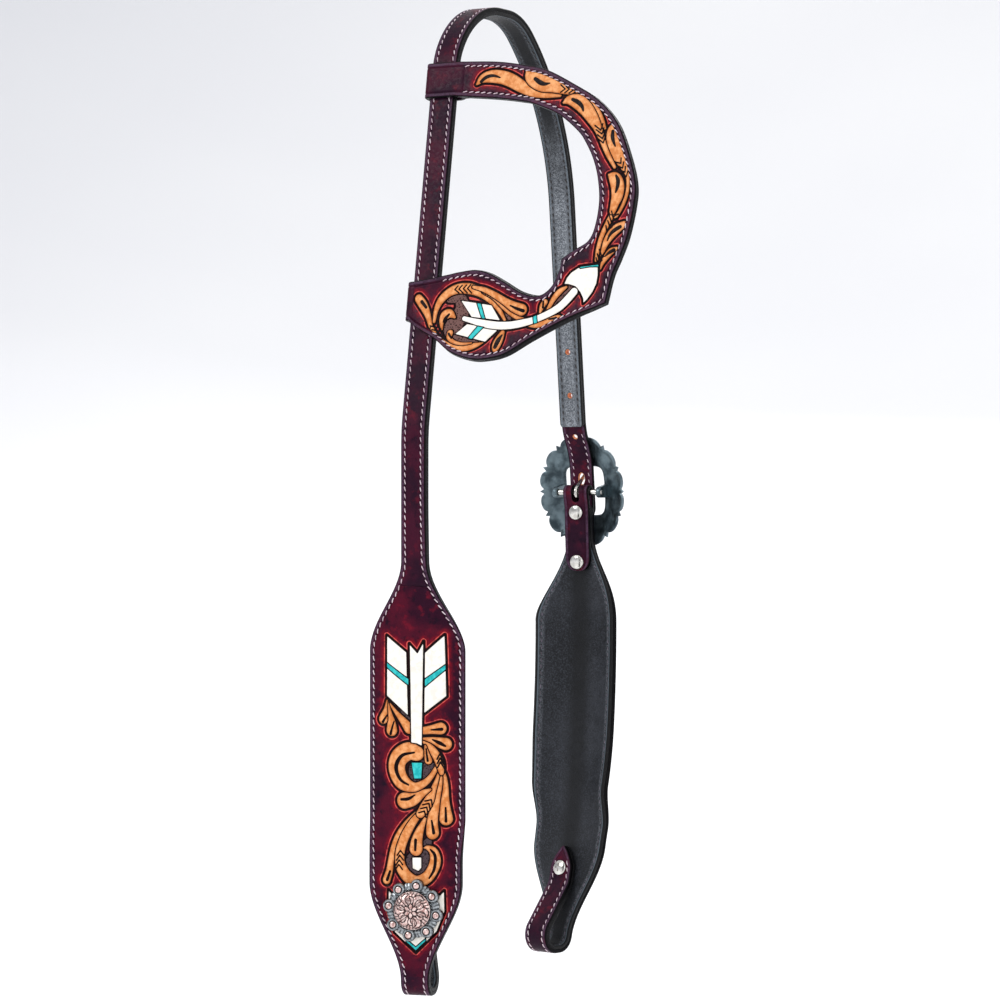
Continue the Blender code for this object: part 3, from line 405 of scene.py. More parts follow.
@dataclass
class Twist:
    """Turns points about an upright line, from nothing at a height to the full angle below it."""

    axis_y: float
    top: float
    angle: float
    length: float = TWIST_LENGTH
    only_near: bool = False

    def apply(self, points: Array) -> Array:
        """Returns the turned copy of an array of points."""
        turn = self.angle * ease((self.top - points[..., 2]) / self.length)
        if self.only_near:
            turn = np.where(points[..., 1] < 0, turn, 0.0)
        x, y = points[..., 0], points[..., 1] - self.axis_y
        c, s = np.cos(turn), np.sin(turn)
        return np.stack([c * x - s * y, s * x + c * y + self.axis_y, points[..., 2]], -1)


def unit(vectors: Array) -> Array:
    """Vectors scaled to a length of one."""
    return vectors / np.maximum(np.linalg.norm(vectors, axis=-1, keepdims=True), 1e-12)


@dataclass
class Sheet:
    """Rows across a strip of leather's reference face."""

    centre: Array
    across: Array
    outward: Array
    bow: Array
    width: Array
    along: Array
    twist: Optional[Twist] = None

    def raised(self, across: Array, height: Array) -> Array:
        """Points at places across each row, lifted along the surface's normals.

        Args:
            across: distances from the middle of the row, one line for each row.
            height: lift of each point, of the same shape.

        Returns:
            Points in rows and columns.
        """
        nudge = 0.0001
        middle, right, left = (self._face(across + shift) for shift in (0.0, nudge, -nudge))
        along = np.gradient(self._face(across * 0 + across.mean(0)), axis=0)
        normal = unit(np.cross(right - left, along))
        return middle + normal * height[..., None]

    def _face(self, across: Array) -> Array:
        """The reference face itself."""
        reach = across[..., None]
        points = self.centre[:, None] + self.across[:, None] * reach
        points = points - self.outward[:, None] * (self.bow[:, None] * across ** 2)[..., None]
        return self.twist.apply(points) if self.twist else points


def strip(places: Array, at: Callable[[float], Triple], width: Callable[[float], float],
          bow: Callable[[float], float], twist: Optional[Twist]) -> Sheet:
    """Lays a sheet along a route in the upright plane that runs from side to side of the head.

    Args:
        places: distances along the route, one for each row.
        at: place and heading for a distance.
        width: width of the leather for a distance.
        bow: curvature across for a distance.
        twist: the turn of the sheet's lower end.

    Returns:
        The sheet.
    """
    run = np.array([at(float(place)) for place in places])
    nil = np.zeros(len(places))
    return Sheet(
        centre=np.stack([nil, run[:, 0], run[:, 1]], -1),
        across=np.tile((1.0, 0.0, 0.0), (len(places), 1)),
        outward=np.stack([nil, -np.sin(run[:, 2]), np.cos(run[:, 2])], -1),
        bow=np.array([bow(float(place)) for place in places]),
        width=np.array([width(float(place)) for place in places]),
        along=np.asarray(places),
        twist=twist,
    )


# Meshes

SMOOTH_ANGLE = 50.0
TURNED_SHARP = 42
SAME_PLACE = 1e-7


def new_piece(name: str, points: Array, faces: list, carried: Optional[dict[str, Array]] = None,
              smooth_angle: Optional[float] = SMOOTH_ANGLE) -> Object:
    """Makes an object from points and faces.

    Args:
        name: name of the object.
        points: its points.
        faces: point numbers of each face.
        carried: floats to store on the points, by name.
        smooth_angle: edges sharper than this many degrees stay sharp.

    Returns:
        The linked object.
    """
    mesh = bpy.data.meshes.new(name)
    mesh.from_pydata(np.asarray(points, float).tolist(), [], faces)
    for label, values in (carried or {}).items():
        layer = mesh.attributes.new(label, "FLOAT", "POINT")
        layer.data.foreach_set("value", np.asarray(values, np.float32).ravel())
    mesh.shade_smooth()
    if smooth_angle:
        mesh.set_sharp_from_angle(angle=math.radians(smooth_angle))
    made = bpy.data.objects.new(name, mesh)
    bpy.context.scene.collection.objects.link(made)
    return made


def ring_faces(rows: int, columns: int) -> list:
    """Quads between rows of points, whose columns run round."""
    low = np.arange(rows - 1)[:, None] * columns
    here = np.arange(columns)[None, :]
    after = (here + 1) % columns
    quads = np.stack([low + here, low + after, low + columns + after, low + columns + here], -1)
    return quads.reshape(-1, 4).tolist()


def closing_faces(rows: int, columns: int) -> list:
    """Quads that join the last row of points to the first."""
    shift = (rows - 1) * columns
    return [[shift + n if n < columns else n - columns for n in face] for face in ring_faces(2, columns)]


def loft(name: str, rings: Array, carried: Optional[dict[str, Array]] = None, inward: bool = False,
         smooth_angle: Optional[float] = SMOOTH_ANGLE) -> Object:
    """A closed skin over rings of points, with a flat face on each end.

    Args:
        name: name of the object.
        rings: points as rings by columns by three.
        carried: floats for the points, as rings by columns.
        inward: turns the faces round.
        smooth_angle: edges sharper than this many degrees stay sharp.

    Returns:
        The linked object.
    """
    rows, columns = rings.shape[:2]
    faces = ring_faces(rows, columns)
    faces.append(list(range(columns))[::-1])
    faces.append(list(range((rows - 1) * columns, rows * columns)))
    if inward:
        faces = [face[::-1] for face in faces]
    return new_piece(name, rings.reshape(-1, 3), faces, carried, smooth_angle)


def turned(name: str, profile: Sequence[Span], segments: int, pose: Matrix = Matrix(),
           carried: Optional[dict[str, Sequence[float]]] = None) -> Object:
    """A closed profile of (radius, height) spun round local Z.

    Args:
        name: name of the object.
        profile: from the axis at the top, down the outer side, to the axis or back to the start.
        segments: faces round the axis.
        pose: where the piece goes.
        carried: floats along the profile, by name.

    Returns:
        The linked object.
    """
    line = np.array(profile, float)
    radius, height = line[:, :1], np.repeat(line[:, 1:], segments, 1)
    turn = np.tile(np.linspace(0, math.tau, segments, endpoint=False), (len(line), 1))
    points = np.stack([radius * np.cos(turn), radius * np.sin(turn), height], -1)
    on_axis = line[:, 0] < SAME_PLACE
    faces = ring_faces(len(line), segments)
    if not on_axis[0]:
        faces += closing_faces(len(line), segments)
    values = {label: np.repeat(np.array(each, float), segments) for label, each in (carried or {}).items()}
    made = new_piece(name, points.reshape(-1, 3), [face[::-1] for face in faces], values, None)
    if on_axis[0] or on_axis[-1]:
        weld(made)
    made.data.shade_smooth()
    made.data.set_sharp_from_angle(angle=math.radians(TURNED_SHARP))
    made.data.transform(pose)
    return made


def weld(piece: Object) -> None:
    """Merges points that lie in one place."""
    step = piece.modifiers.new("Weld", "WELD")
    step.merge_threshold = SAME_PLACE
    settle(piece)


def settle(piece: Object) -> None:
    """Turns a piece's modifiers into its plain mesh."""
    graph = bpy.context.evaluated_depsgraph_get()
    graph.update()
    mesh = bpy.data.meshes.new_from_object(piece.evaluated_get(graph))
    piece.modifiers.clear()
    old = piece.data
    piece.data = mesh
    mesh.name = piece.name
    bpy.data.meshes.remove(old)


def punch(piece: Object, cutters: Sequence[Object]) -> None:
    """Cuts shapes out of a piece. The cutters stay, because another piece may need them too."""
    for cutter in cutters:
        step = piece.modifiers.new("Punched", "BOOLEAN")
        step.operation, step.solver, step.object = "DIFFERENCE", "EXACT", cutter
    settle(piece)


def discard(pieces: Sequence[Object]) -> None:
    """Deletes helper objects."""
    for piece in pieces:
        bpy.data.objects.remove(piece)


def rod(name: str, radius: float, low: float, high: float, pose: Matrix, stretch: float = 1.0,
        segments: int = 24) -> Object:
    """A round cutter along local Z, made oval along local Y by stretch."""
    made = turned(name, [(0, high), (radius, high), (radius, low), (0, low)], segments)
    made.data.transform(pose @ Matrix.Diagonal((1.0, stretch, 1.0, 1.0)))
    return made


def block(name: str, low: Sequence[float], high: Sequence[float], pose: Matrix) -> Object:
    """A straight-sided cutter between two corners."""
    ring = np.array([(low[0], low[1]), (high[0], low[1]), (high[0], high[1]), (low[0], high[1])])
    rings = np.array([[(x, y, z) for x, y in ring] for z in (low[2], high[2])])
    made = loft(name, rings)
    made.data.transform(pose)
    return made


def swept(name: str, path: Array, radius: Array, segments: int) -> Object:
    """A round tube of changing radius along a path that lies in the local Y-Z plane."""
    forward = unit(np.gradient(path, axis=0))
    side = np.tile((1.0, 0.0, 0.0), (len(path), 1))
    up = np.cross(side, forward)
    angles = np.linspace(0, math.tau, segments, endpoint=False)
    ring = side[:, None] * np.cos(angles)[None, :, None] + up[:, None] * np.sin(angles)[None, :, None]
    return loft(name, path[:, None] + ring * radius[:, None, None])


@dataclass
class Layer:
    """One leather of a lined strap: where its two faces lie over the reference face, and how it is edged."""

    low: float
    high: float
    top_round: float = 0.0008
    low_round: float = 0.0002
    top_groove: bool = True
    low_groove: bool = False
    inner_columns: int = 10
    inner_share: float = 0.93
    groove: float = 0.00035
    groove_half: float = 0.0005
    narrow_half: float = 0.0062
    end_share: float = 0.9
    insets: tuple[float, ...] = (0.08, 0.25, 0.5, 0.85, 1.6, 2.3, 2.55, 2.8, 3.05, 3.25, 3.35, 4.4)

    def made(self, name: str, sheet: Sheet, sunk: Optional[Span] = None) -> Object:
        """Builds the closed leather over a sheet.

        Args:
            name: name of the object.
            sheet: the rows to build on.
            sunk: stations between which the middle is lowered for a tooled panel.

        Returns:
            The linked object, which carries edge and aside.
        """
        half = sheet.width[:, None] / 2
        insets = np.array(self.insets) * MM
        inset = insets[None, :] * np.minimum(1.0, half / self.narrow_half)
        middle = np.linspace(-1, 1, self.inner_columns)[None, :] * (half - inset[:, -1:]) * self.inner_share
        across = np.concatenate([-(half - inset), middle, (half - inset)[:, ::-1]], 1)
        edge = half - np.abs(across)
        top = self.high - self._corner(edge, self.top_round) - self._furrow(edge, self.top_groove)
        low = self.low + self._corner(edge, self.low_round) + self._furrow(edge, self.low_groove)
        if sunk:
            inside = (sheet.along >= sunk[0]) & (sheet.along <= sunk[1])
            deep = inside[:, None] & (edge >= PANEL_INSET * 0.99)
            top = np.where(deep, top - PANEL_SUNK, top)
        rim = np.array([self.high - self.top_round, self.low + self.low_round])
        sides = np.repeat(rim[None, :], len(sheet.along), 0)
        places = np.concatenate([across, half, half, across[:, ::-1], -half, -half], 1)
        heights = np.concatenate([top, sides, low[:, ::-1], sides[:, ::-1]], 1)
        rings = sheet.raised(places, heights)
        for end in (0, -1):
            centre = rings[end].mean(0)
            rings[end] = centre + (rings[end] - centre) * self.end_share
        blank = np.zeros((len(edge), 2))
        border = np.concatenate([edge, blank, edge[:, ::-1], blank], 1)
        return loft(name, rings, {"edge": border / MM, "aside": places / MM}, inward=True)

    def _corner(self, edge: Array, radius: float) -> Array:
        """Drop of a rounded corner at a distance from the edge."""
        left = np.clip(radius - edge, 0, radius)
        return radius - np.sqrt(np.maximum(radius ** 2 - left ** 2, 0))

    def _furrow(self, edge: Array, cut: bool) -> Array:
        """Depth of the stitching groove at a distance from the edge."""
        if not cut:
            return np.zeros_like(edge)
        return self.groove * np.clip(1 - np.abs(edge - STITCH_INSET) / self.groove_half, 0, 1)


def lining_layer(low: float, high: float) -> Layer:
    """A lining, whose grain side with the groove and the round corners is the lower face."""
    return Layer(low, high, top_round=0.0002, low_round=0.0007, top_groove=False, low_groove=True)


@dataclass
class Panel:
    """A tooled panel that is let into the leather between its stitch rows."""

    pattern: "Drawing"
    high: float
    step: float = FINE_STEP
    depth: float = 0.0013
    rim_width: float = 0.0006
    rim_drop: float = 0.00022
    end_drop: float = 0.00006
    under_columns: int = 7

    def made(self, name: str, sheet: Sheet, flat: Array) -> Object:
        """Builds the closed panel.

        Args:
            name: name of the object.
            sheet: the rows to build on.
            flat: place of each point on the pattern, in millimetres, from `across`.

        Returns:
            The linked object, which carries the drawing's distances.
        """
        across = self.across(sheet)
        drawn = self.pattern.on(flat)
        half = sheet.width[:, None] / 2
        rim = np.clip(1 - (half - PANEL_INSET - np.abs(across)) / self.rim_width, 0, 1)
        from_end = np.minimum(np.abs(sheet.along - sheet.along[0]), np.abs(sheet.along - sheet.along[-1]))[:, None]
        lapped = np.clip(1 - from_end / PANEL_LAP, 0, 1)
        top = self.high + drawn["relief"] * MM * (1 - rim) - self.rim_drop * rim ** 2
        top = top - self.end_drop * lapped
        under = np.linspace(1, -1, self.under_columns)[None, :] * (half - PANEL_INSET)
        low = np.full_like(under, self.high - self.depth)
        places = np.concatenate([across, under], 1)
        rings = sheet.raised(places, np.concatenate([top, low], 1))
        nil = np.full(under.shape, FAR_AWAY)
        carried = {
            label: np.concatenate([values, nil], 1) for label, values in drawn.items() if label != "relief"
        }
        carried["edge"] = np.concatenate([half - np.abs(across), half - np.abs(under)], 1) / MM
        return loft(name, rings, carried, inward=True, smooth_angle=None)

    def across(self, sheet: Sheet) -> Array:
        """Places of the top's columns across each row."""
        columns = int(round((sheet.width.max() - 2 * PANEL_INSET) / self.step)) + 1
        return np.linspace(-1, 1, columns)[None, :] * (sheet.width[:, None] / 2 - PANEL_INSET)


# Drawn tooling, in millimetres


class Ink(Enum):
    """What a drawn shape is on the leather."""

    GROUND = "ground"
    LEAF = "leaf"
    WHITE = "white"
    BAND = "band"
    MARK = "mark"


@dataclass(frozen=True)
class Shape:
    """One shape of a pattern: a stroke of changing width, or an outline where its points have no width."""

    ink: Ink
    line: Stroke
    veins: tuple[Stroke, ...] = ()


def between(a: Array, b: Array, c: Array, d: Array, t: Array) -> Array:
    """Points from b to c on the smooth curve that also passes a and d."""
    return 0.5 * (2 * b + (c - a) * t + (2 * a - 5 * b + 4 * c - d) * t ** 2 + (3 * b - a - 3 * c + d) * t ** 3)


def curved(line: Stroke, parts: int = 6) -> Array:
    """Points on a smooth curve through the points of a stroke."""
    points = np.array(line, float)
    if len(points) < 3:
        return points
    padded = np.vstack([2 * points[0] - points[1], points, 2 * points[-1] - points[-2]])
    t = np.linspace(0, 1, parts, endpoint=False)[:, None]
    made = [between(*four, t) for four in zip(padded, padded[1:], padded[2:], padded[3:])]
    return np.vstack(made + [points[-1:]])


def stroke_distance(place: Array, line: Array) -> Array:
    """Signed distance from points to a stroke with a radius at each of its points."""
    best = np.full(len(place), FAR_AWAY)
    for a, b in zip(line, line[1:]):
        run = b[:2] - a[:2]
        share = np.clip((place - a[:2]) @ run / max(run @ run, 1e-9), 0, 1)
        gap = np.linalg.norm(place - a[:2] - share[:, None] * run, axis=1)
        best = np.minimum(best, gap - (a[2] + (b[2] - a[2]) * share))
    return best


def outline_distance(place: Array, corners: Array) -> Array:
    """Signed distance from points to an outline, negative inside."""
    best = np.full(len(place), FAR_AWAY)
    inside = np.zeros(len(place), bool)
    for a, b in zip(corners, np.roll(corners, -1, 0)):
        run = b - a
        share = np.clip((place - a) @ run / max(run @ run, 1e-9), 0, 1)
        best = np.minimum(best, np.linalg.norm(place - a - share[:, None] * run, axis=1))
        crosses = (a[1] > place[:, 1]) != (b[1] > place[:, 1])
        rise = run[1] if abs(run[1]) > 1e-9 else 1e-9
        inside ^= crosses & (place[:, 0] < a[0] + (place[:, 1] - a[1]) * run[0] / rise)
    return np.where(inside, -best, best)


@dataclass
class Drawing:
    """A pattern of shapes, each drawn over the ones before it."""

    shapes: Sequence[Shape]
    outline: float = 0.32
    ground_outline: float = 0.6
    reach: float = 5.0
    mark_width: float = 0.44
    vein_weight: float = 1.8
    bevel_depth: float = 0.50
    bevel_reach: float = 1.5
    pillow_rise: float = 0.34
    pillow_reach: float = 1.1
    pillow_low: float = 0.10
    ground_depth: float = 0.55
    ground_ripple: float = 0.10
    line_depth: float = 0.24

    def on(self, flat: Array) -> dict[str, Array]:
        """Works the pattern out on an array of places.

        Args:
            flat: places in millimetres, as rows by columns by two.

        Returns:
            The signed distances to tan, white, band, ground, line and the whole pattern, and the relief,
            all in millimetres.
        """
        place = flat.reshape(-1, 2)
        far = np.full(len(place), FAR_AWAY)
        held = {label: far.copy() for label in ("tan", "white", "band", "ground", "line", "pattern")}
        depth = np.zeros(len(place))
        for shape in self.shapes:
            self._draw(shape, place, held, depth)
        outside = np.maximum(held["pattern"], 0)
        bevel = np.where(held["pattern"] < 0, 0.0, -self.bevel_depth * bell(outside, self.bevel_reach))
        pillow = self.pillow_rise * (1 - np.exp(-depth / self.pillow_reach)) - self.pillow_low
        raised = (held["tan"] < 0) | (held["white"] < 0) | (held["band"] < 0)
        ripple = self.ground_ripple * np.sin(place[:, 0] * 5.1) * np.sin(place[:, 1] * 4.7)
        relief = np.where(raised, pillow, bevel)
        relief = np.where((held["ground"] < 0) & ~raised, ripple - self.ground_depth, relief)
        held["relief"] = relief - self.line_depth * (1 - ease((held["line"] + 0.05) / 0.40))
        return {label: values.reshape(flat.shape[:2]) for label, values in held.items()}

    def _near(self, place: Array, line: Array) -> Array:
        """Numbers of the places that lie within reach of a line."""
        margin = self.reach + (line[:, 2].max() if line.shape[1] > 2 else 0.0)
        low, high = line[:, :2].min(0) - margin, line[:, :2].max(0) + margin
        return np.nonzero(((place > low) & (place < high)).all(1))[0]

    def _draw(self, shape: Shape, place: Array, held: dict[str, Array], depth: Array) -> None:
        """Draws one shape over what is there."""
        line = np.array(shape.line, float)
        if shape.ink is Ink.MARK:
            marked = np.column_stack([line, np.full(len(line), self.mark_width)])
            near = self._near(place, marked)
            held["line"][near] = np.minimum(held["line"][near], stroke_distance(place[near], marked))
            return
        if line.shape[1] == 3:
            line = curved(shape.line)
            near = self._near(place, line)
            gap = stroke_distance(place[near], line)
        else:
            near = self._near(place, line)
            gap = outline_distance(place[near], line)
        own = {Ink.GROUND: "ground", Ink.LEAF: "tan", Ink.WHITE: "white", Ink.BAND: "band"}[shape.ink]
        for label in ("ground", "tan", "white", "band"):
            was = held[label][near]
            held[label][near] = np.minimum(was, gap) if label == own else np.maximum(was, -gap)
        held["pattern"][near] = np.minimum(held["pattern"][near], gap)
        width = self.outline * (self.ground_outline if shape.ink is Ink.GROUND else 1.0)
        was = held["line"][near]
        held["line"][near] = np.where(gap > 0, np.minimum(was, gap - width), np.abs(gap) - width)
        if shape.ink is not Ink.BAND:
            depth[near] = np.where(gap < 0, -gap, depth[near])
        for vein in shape.veins:
            stroke = curved(vein, 4) * (1, 1, self.vein_weight)
            close = self._near(place, stroke)
            held["line"][close] = np.minimum(held["line"][close], stroke_distance(place[close], stroke))


def marks(*lines: Stroke) -> tuple[Shape, ...]:
    """Small impressed brackets, one for each line."""
    return tuple(Shape(Ink.MARK, line) for line in lines)


CHEEK_SHAPES = (
    Shape(Ink.GROUND, ((2.2, 116.2, 7.2), (6.8, 113.8, 4))),
    Shape(Ink.GROUND, ((0.1, 166.8, 6.9), (3.9, 161.1, 4.6), (6.8, 155.4, 2.3))),
    Shape(Ink.GROUND, ((-9.3, 83.2, 0.69), (-6.8, 86, 1.5), (-5, 88.2, 1.8))),
    Shape(Ink.LEAF, ((1.6, 137.5, 0.87), (-3.8, 143, 1.7), (-8.6, 149.1, 2.2), (-12, 154.8, 2.3),
    (-14.3, 160.5, 2.2), (-15.8, 166.2, 2.1), (-16.8, 171.9, 2.4), (-18.5, 177, 2.7)),
    (((-16.3, 172.2, 0.4), (-18.1, 176.9, 0.52)),)),
    Shape(Ink.LEAF, ((2.8, 138.6, 1.7), (-2, 144.4, 2.4), (-5.9, 150.7, 2.8), (-8.6, 156.4, 2.9),
    (-10.1, 161.5, 3.1), (-10.3, 166.6, 3.2), (-8.8, 171, 3.5), (-4.9, 175.4, 3.6), (0.4, 177.5, 3.6),
    (6.3, 175, 3.6), (9.8, 170.5, 3.6), (11.5, 165.4, 3.6), (10.1, 160.6, 2.7), (6.6, 158.5, 1.5),
    (4.2, 158.7, 0.46)), (((8.5, 159.6, 0.29), (11.1, 162.4, 0.52), (11.5, 166.7, 0.52),
    (10.4, 171.3, 0.46), (7.8, 175.3, 0.29)),)),
    Shape(Ink.LEAF, ((5.7, 140.8, 0.87), (3.6, 145.3, 1.7), (1.6, 149.9, 2.7), (0.1, 155, 3.6),
    (-0.3, 159.2, 4.2)), (((-0.5, 154.4, 0.52), (-0.7, 159.9, 0.4)),)),
    Shape(Ink.LEAF, ((13.9, 114.3, 0.87), (15.8, 118.8, 1.3), (16.5, 124.4, 1.7), (16.2, 131.1, 2.4),
    (16.2, 136.7, 3.2), (16.7, 142.4, 4)), (((16.4, 136.2, 0.29), (16.6, 143.8, 0.46)),)),
    Shape(Ink.LEAF, ((14, 116, 0.87), (13.4, 123.3, 1.5), (11.7, 131.2, 2), (10.4, 136.8, 2.7),
    (9.4, 141.3, 3.1), (9, 145.8, 3.5), (9.3, 150.3, 3.9)), (((8.7, 143.5, 0.29), (10, 150.3, 0.52)),)),
    Shape(Ink.LEAF, ((13, 116, 0.87), (11.3, 121.6, 1.4), (9.4, 126.7, 2), (7.4, 131.8, 2.9),
    (4.8, 136.3, 3.2), (2.2, 139.8, 2.6))),
    Shape(Ink.LEAF, ((8, 126.2, 0.87), (3.3, 128.5, 2.3), (-2, 131.7, 3.9), (-7.1, 132.7, 4.8)),
    (((-0.9, 129.4, 0.23), (-4.7, 131.6, 0.52), (-9, 132.1, 0.4)),)),
    Shape(Ink.LEAF, ((0.1, 106.4, 4.4), (-5, 105.3, 5.3), (-10.6, 109.2, 5.5), (-11.9, 115.4, 5.3),
    (-8.7, 122.1, 4.7), (-2, 125.1, 3), (3.9, 123.1, 2.3), (8, 119.4, 1.8), (11.3, 114.3, 1.5)),
    (((-1.3, 105.9, 0.29), (-8.2, 107.5, 0.52), (-11.8, 112.3, 0.69), (-11.8, 117, 0.63),
    (-9, 121.6, 0.46), (-4.7, 123.9, 0.29)),)),
    Shape(Ink.LEAF, ((3.9, 99.3, 1.2), (7.4, 102.6, 2.1), (10.2, 105.9, 2.5), (12.5, 109.8, 2.7),
    (13.6, 113.7, 2.3), (14.1, 117.1, 1.5))),
    Shape(Ink.LEAF, ((5, 102.1, 0.87), (5.9, 106.5, 1.7), (6.8, 110.2, 2.4)), (((5.5, 103.7, 0.23),
    (6.4, 110.4, 0.4)),)),
    Shape(Ink.LEAF, ((3.9, 98.1, 0.87), (9.1, 98.9, 2), (13.6, 100.3, 3.2), (16.4, 101, 3.7)),
    (((9.1, 98.6, 0.23), (13, 100.4, 0.58), (16.2, 102.1, 0.35)),)),
    Shape(Ink.LEAF, ((2.8, 93.9, 2.2), (9.1, 93, 2.8), (13.6, 92.4, 3.6)), (((8.4, 93.2, 0.23),
    (14.3, 92.8, 0.52)),)),
    Shape(Ink.LEAF, ((-16.9, 78.4, 0.69), (-11.8, 84.4, 1.5), (-7.7, 88.8, 2.4), (-4.4, 92.7, 3.2))),
    Shape(Ink.LEAF, ((-17.5, 77.8, 0.58), (-16.2, 84.5, 1.5), (-15.2, 89.6, 2.7), (-15, 93.8, 3.6)),
    (((-13.6, 89, 0.23), (-15.7, 95.9, 0.46)),)),
    Shape(Ink.LEAF, ((-18, 77.3, 0.58), (-19, 82.4, 1.4), (-20.4, 87.7, 3.1)), (((-17.9, 85.5, 0.23),
    (-20.6, 89.4, 0.46)),)),
    *marks(
        ((11.6, 109.5), (13.2, 106.4), (15.2, 110.1)), ((11.8, 111.8), (13.4, 108.7), (15.5, 112.3)),
        ((12, 114), (13.6, 110.9), (15.7, 114.6)), ((4.8, 132.7), (8.5, 131.8), (9, 135.6)),
        ((3.5, 134.8), (7.2, 133.9), (7.7, 137.7)), ((2.3, 136.9), (5.9, 136), (6.6, 139.8)),
        ((1.3, 139.2), (4.6, 138.2), (5.3, 141.6)), ((-11.9, 163.2), (-9.8, 160.5), (-7.6, 163)),
        ((-12.4, 166), (-10.2, 163.1), (-8.1, 165.7)), ((-12.7, 168.6), (-10.6, 165.7), (-8.4, 168.3)),
        ((-13, 171), (-10.8, 168.2), (-8.6, 170.9)),
    ),
    Shape(Ink.WHITE, ((-18.2, 41.1), (-5.9, 50.4), (-4.9, 85.8), (-18.3, 74.8))),
    Shape(Ink.WHITE, ((4.6, 50.5), (16.1, 40.4), (17, 74.6), (4.2, 84.5))),
    Shape(Ink.WHITE, ((-4.3, 45.7), (0.5, 50.7), (4.1, 44.3), (3.6, 77.9), (3.2, 102.4), (0.1, 101.1),
    (-3.4, 100.6), (-3.7, 78))),
    Shape(Ink.WHITE, ((-2.8, 163.9), (3.2, 163.7), (3.2, 169.7), (1.3, 171.8), (-2.6, 170.3))),
    Shape(Ink.WHITE, ((-17.4, 182.6), (-11, 188), (0, 189.5), (11, 187.6), (16.9, 182), (17.2, 193.3),
    (12.5, 204.6), (-0.4, 216.6), (-13.6, 205.9), (-17.7, 193.9))),
    Shape(Ink.BAND, ((-18.3, 56), (-4.6, 65.2), (-4.6, 69.1), (-18.3, 59.1))),
    Shape(Ink.BAND, ((16.6, 56.7), (4.5, 65.2), (4.5, 69.9), (16.6, 59.9))),
    Shape(Ink.BAND, ((-3.2, 111.3), (3.6, 111.2), (3, 120.5), (-1.6, 120.6))),
    Shape(Ink.BAND, ((-6.5, 209.0), (-0.4, 213.4), (5.8, 208.4), (5.8, 210.2), (-0.4, 215.8),
    (-6.5, 211.0))),
)


